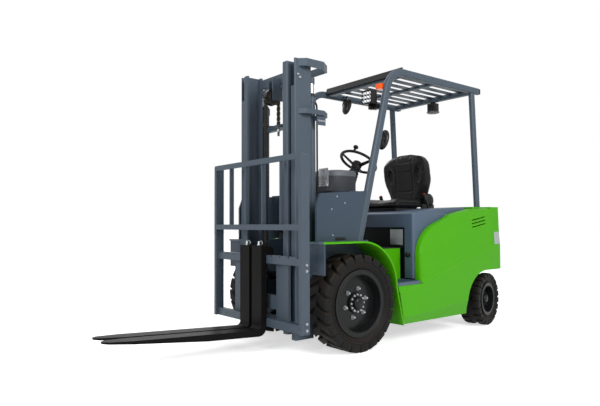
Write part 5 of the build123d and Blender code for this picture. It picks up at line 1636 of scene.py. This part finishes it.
def dress_nodes() -> None:
    """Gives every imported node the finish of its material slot."""
    for entry in frame["record"]["subparts"]:
        finish = OWN_FINISHES.get(entry["node"], NODE_FINISHES[entry["material_slot"]])
        dress(bpy.data.objects[entry["node"]], finish)
        log.info("%s dressed", entry["node"])


def wheel_places(x: float, y: float, z: float, kingpin: float = 0.0, steer: float = 0.0) -> dict[str, Matrix]:
    """Places of the left and right wheel of an axle, turned about their kingpins.

    Args:
        x: Place of the axle along the truck.
        y: Distance of a wheel's middle from the truck's middle.
        z: Height of the axle.
        kingpin: Distance of a kingpin from the truck's middle.
        steer: Angle in degrees by which the wheels are turned.

    Returns:
        Side to place, with the wheel's outer face along +Y.
    """
    turn = turned_by(steer, "Z")
    left = Matrix.Translation(at(x, kingpin, z)) @ turn @ Matrix.Translation((0, y - kingpin, 0))
    right = Matrix.Translation(at(x, -kingpin, z)) @ turn @ Matrix.Rotation(math.pi, 4, "Z")
    return {"left": left, "right": right @ Matrix.Translation((0, y - kingpin, 0))}


def main() -> None:
    """Builds the scene in order."""
    dress_nodes()
    front = wheel_places(x=0, y=0.502, z=0.345)
    WheelPair("front", front, radius=0.345, half_width=0.110, bead=0.232, bead_half=0.086, base=0.321,
              lugs=22, lug_inner=-0.006, lug_widths=(0.052, 0.076), lug_sweep=0.060, nut_circle=0.104,
              nut_seat=0.0397, nut_across=0.026, hub_circle=0.060, hub_seat=0.062, hub_bolts=12,
              cap_radius=0.044, cap_seat=0.0755, nut_finish=ZINC).build()
    rear = wheel_places(x=-1.6, y=0.48, z=0.231, kingpin=0.345, steer=10)
    WheelPair("rear", rear, radius=0.231, half_width=0.095, bead=0.139, bead_half=0.076, base=0.218,
              lugs=22, lug_inner=0.030, lug_widths=(0.046, 0.046), lug_sweep=0.0, nut_circle=0.086,
              nut_seat=0.030, nut_across=0.020, hub_circle=0.050, hub_seat=0.044, hub_bolts=8,
              cap_radius=0.038, cap_seat=0.0575, nut_finish=BLACK_ENAMEL).build()
    Mast().build()
    Carriage().build()
    Bodywork().build()
    Cab().build()
    Guard().build()
    DriverSeat().build()
    Studio().build()


if __name__ == "__main__":
    logging.basicConfig(level=logging.INFO)
    main()
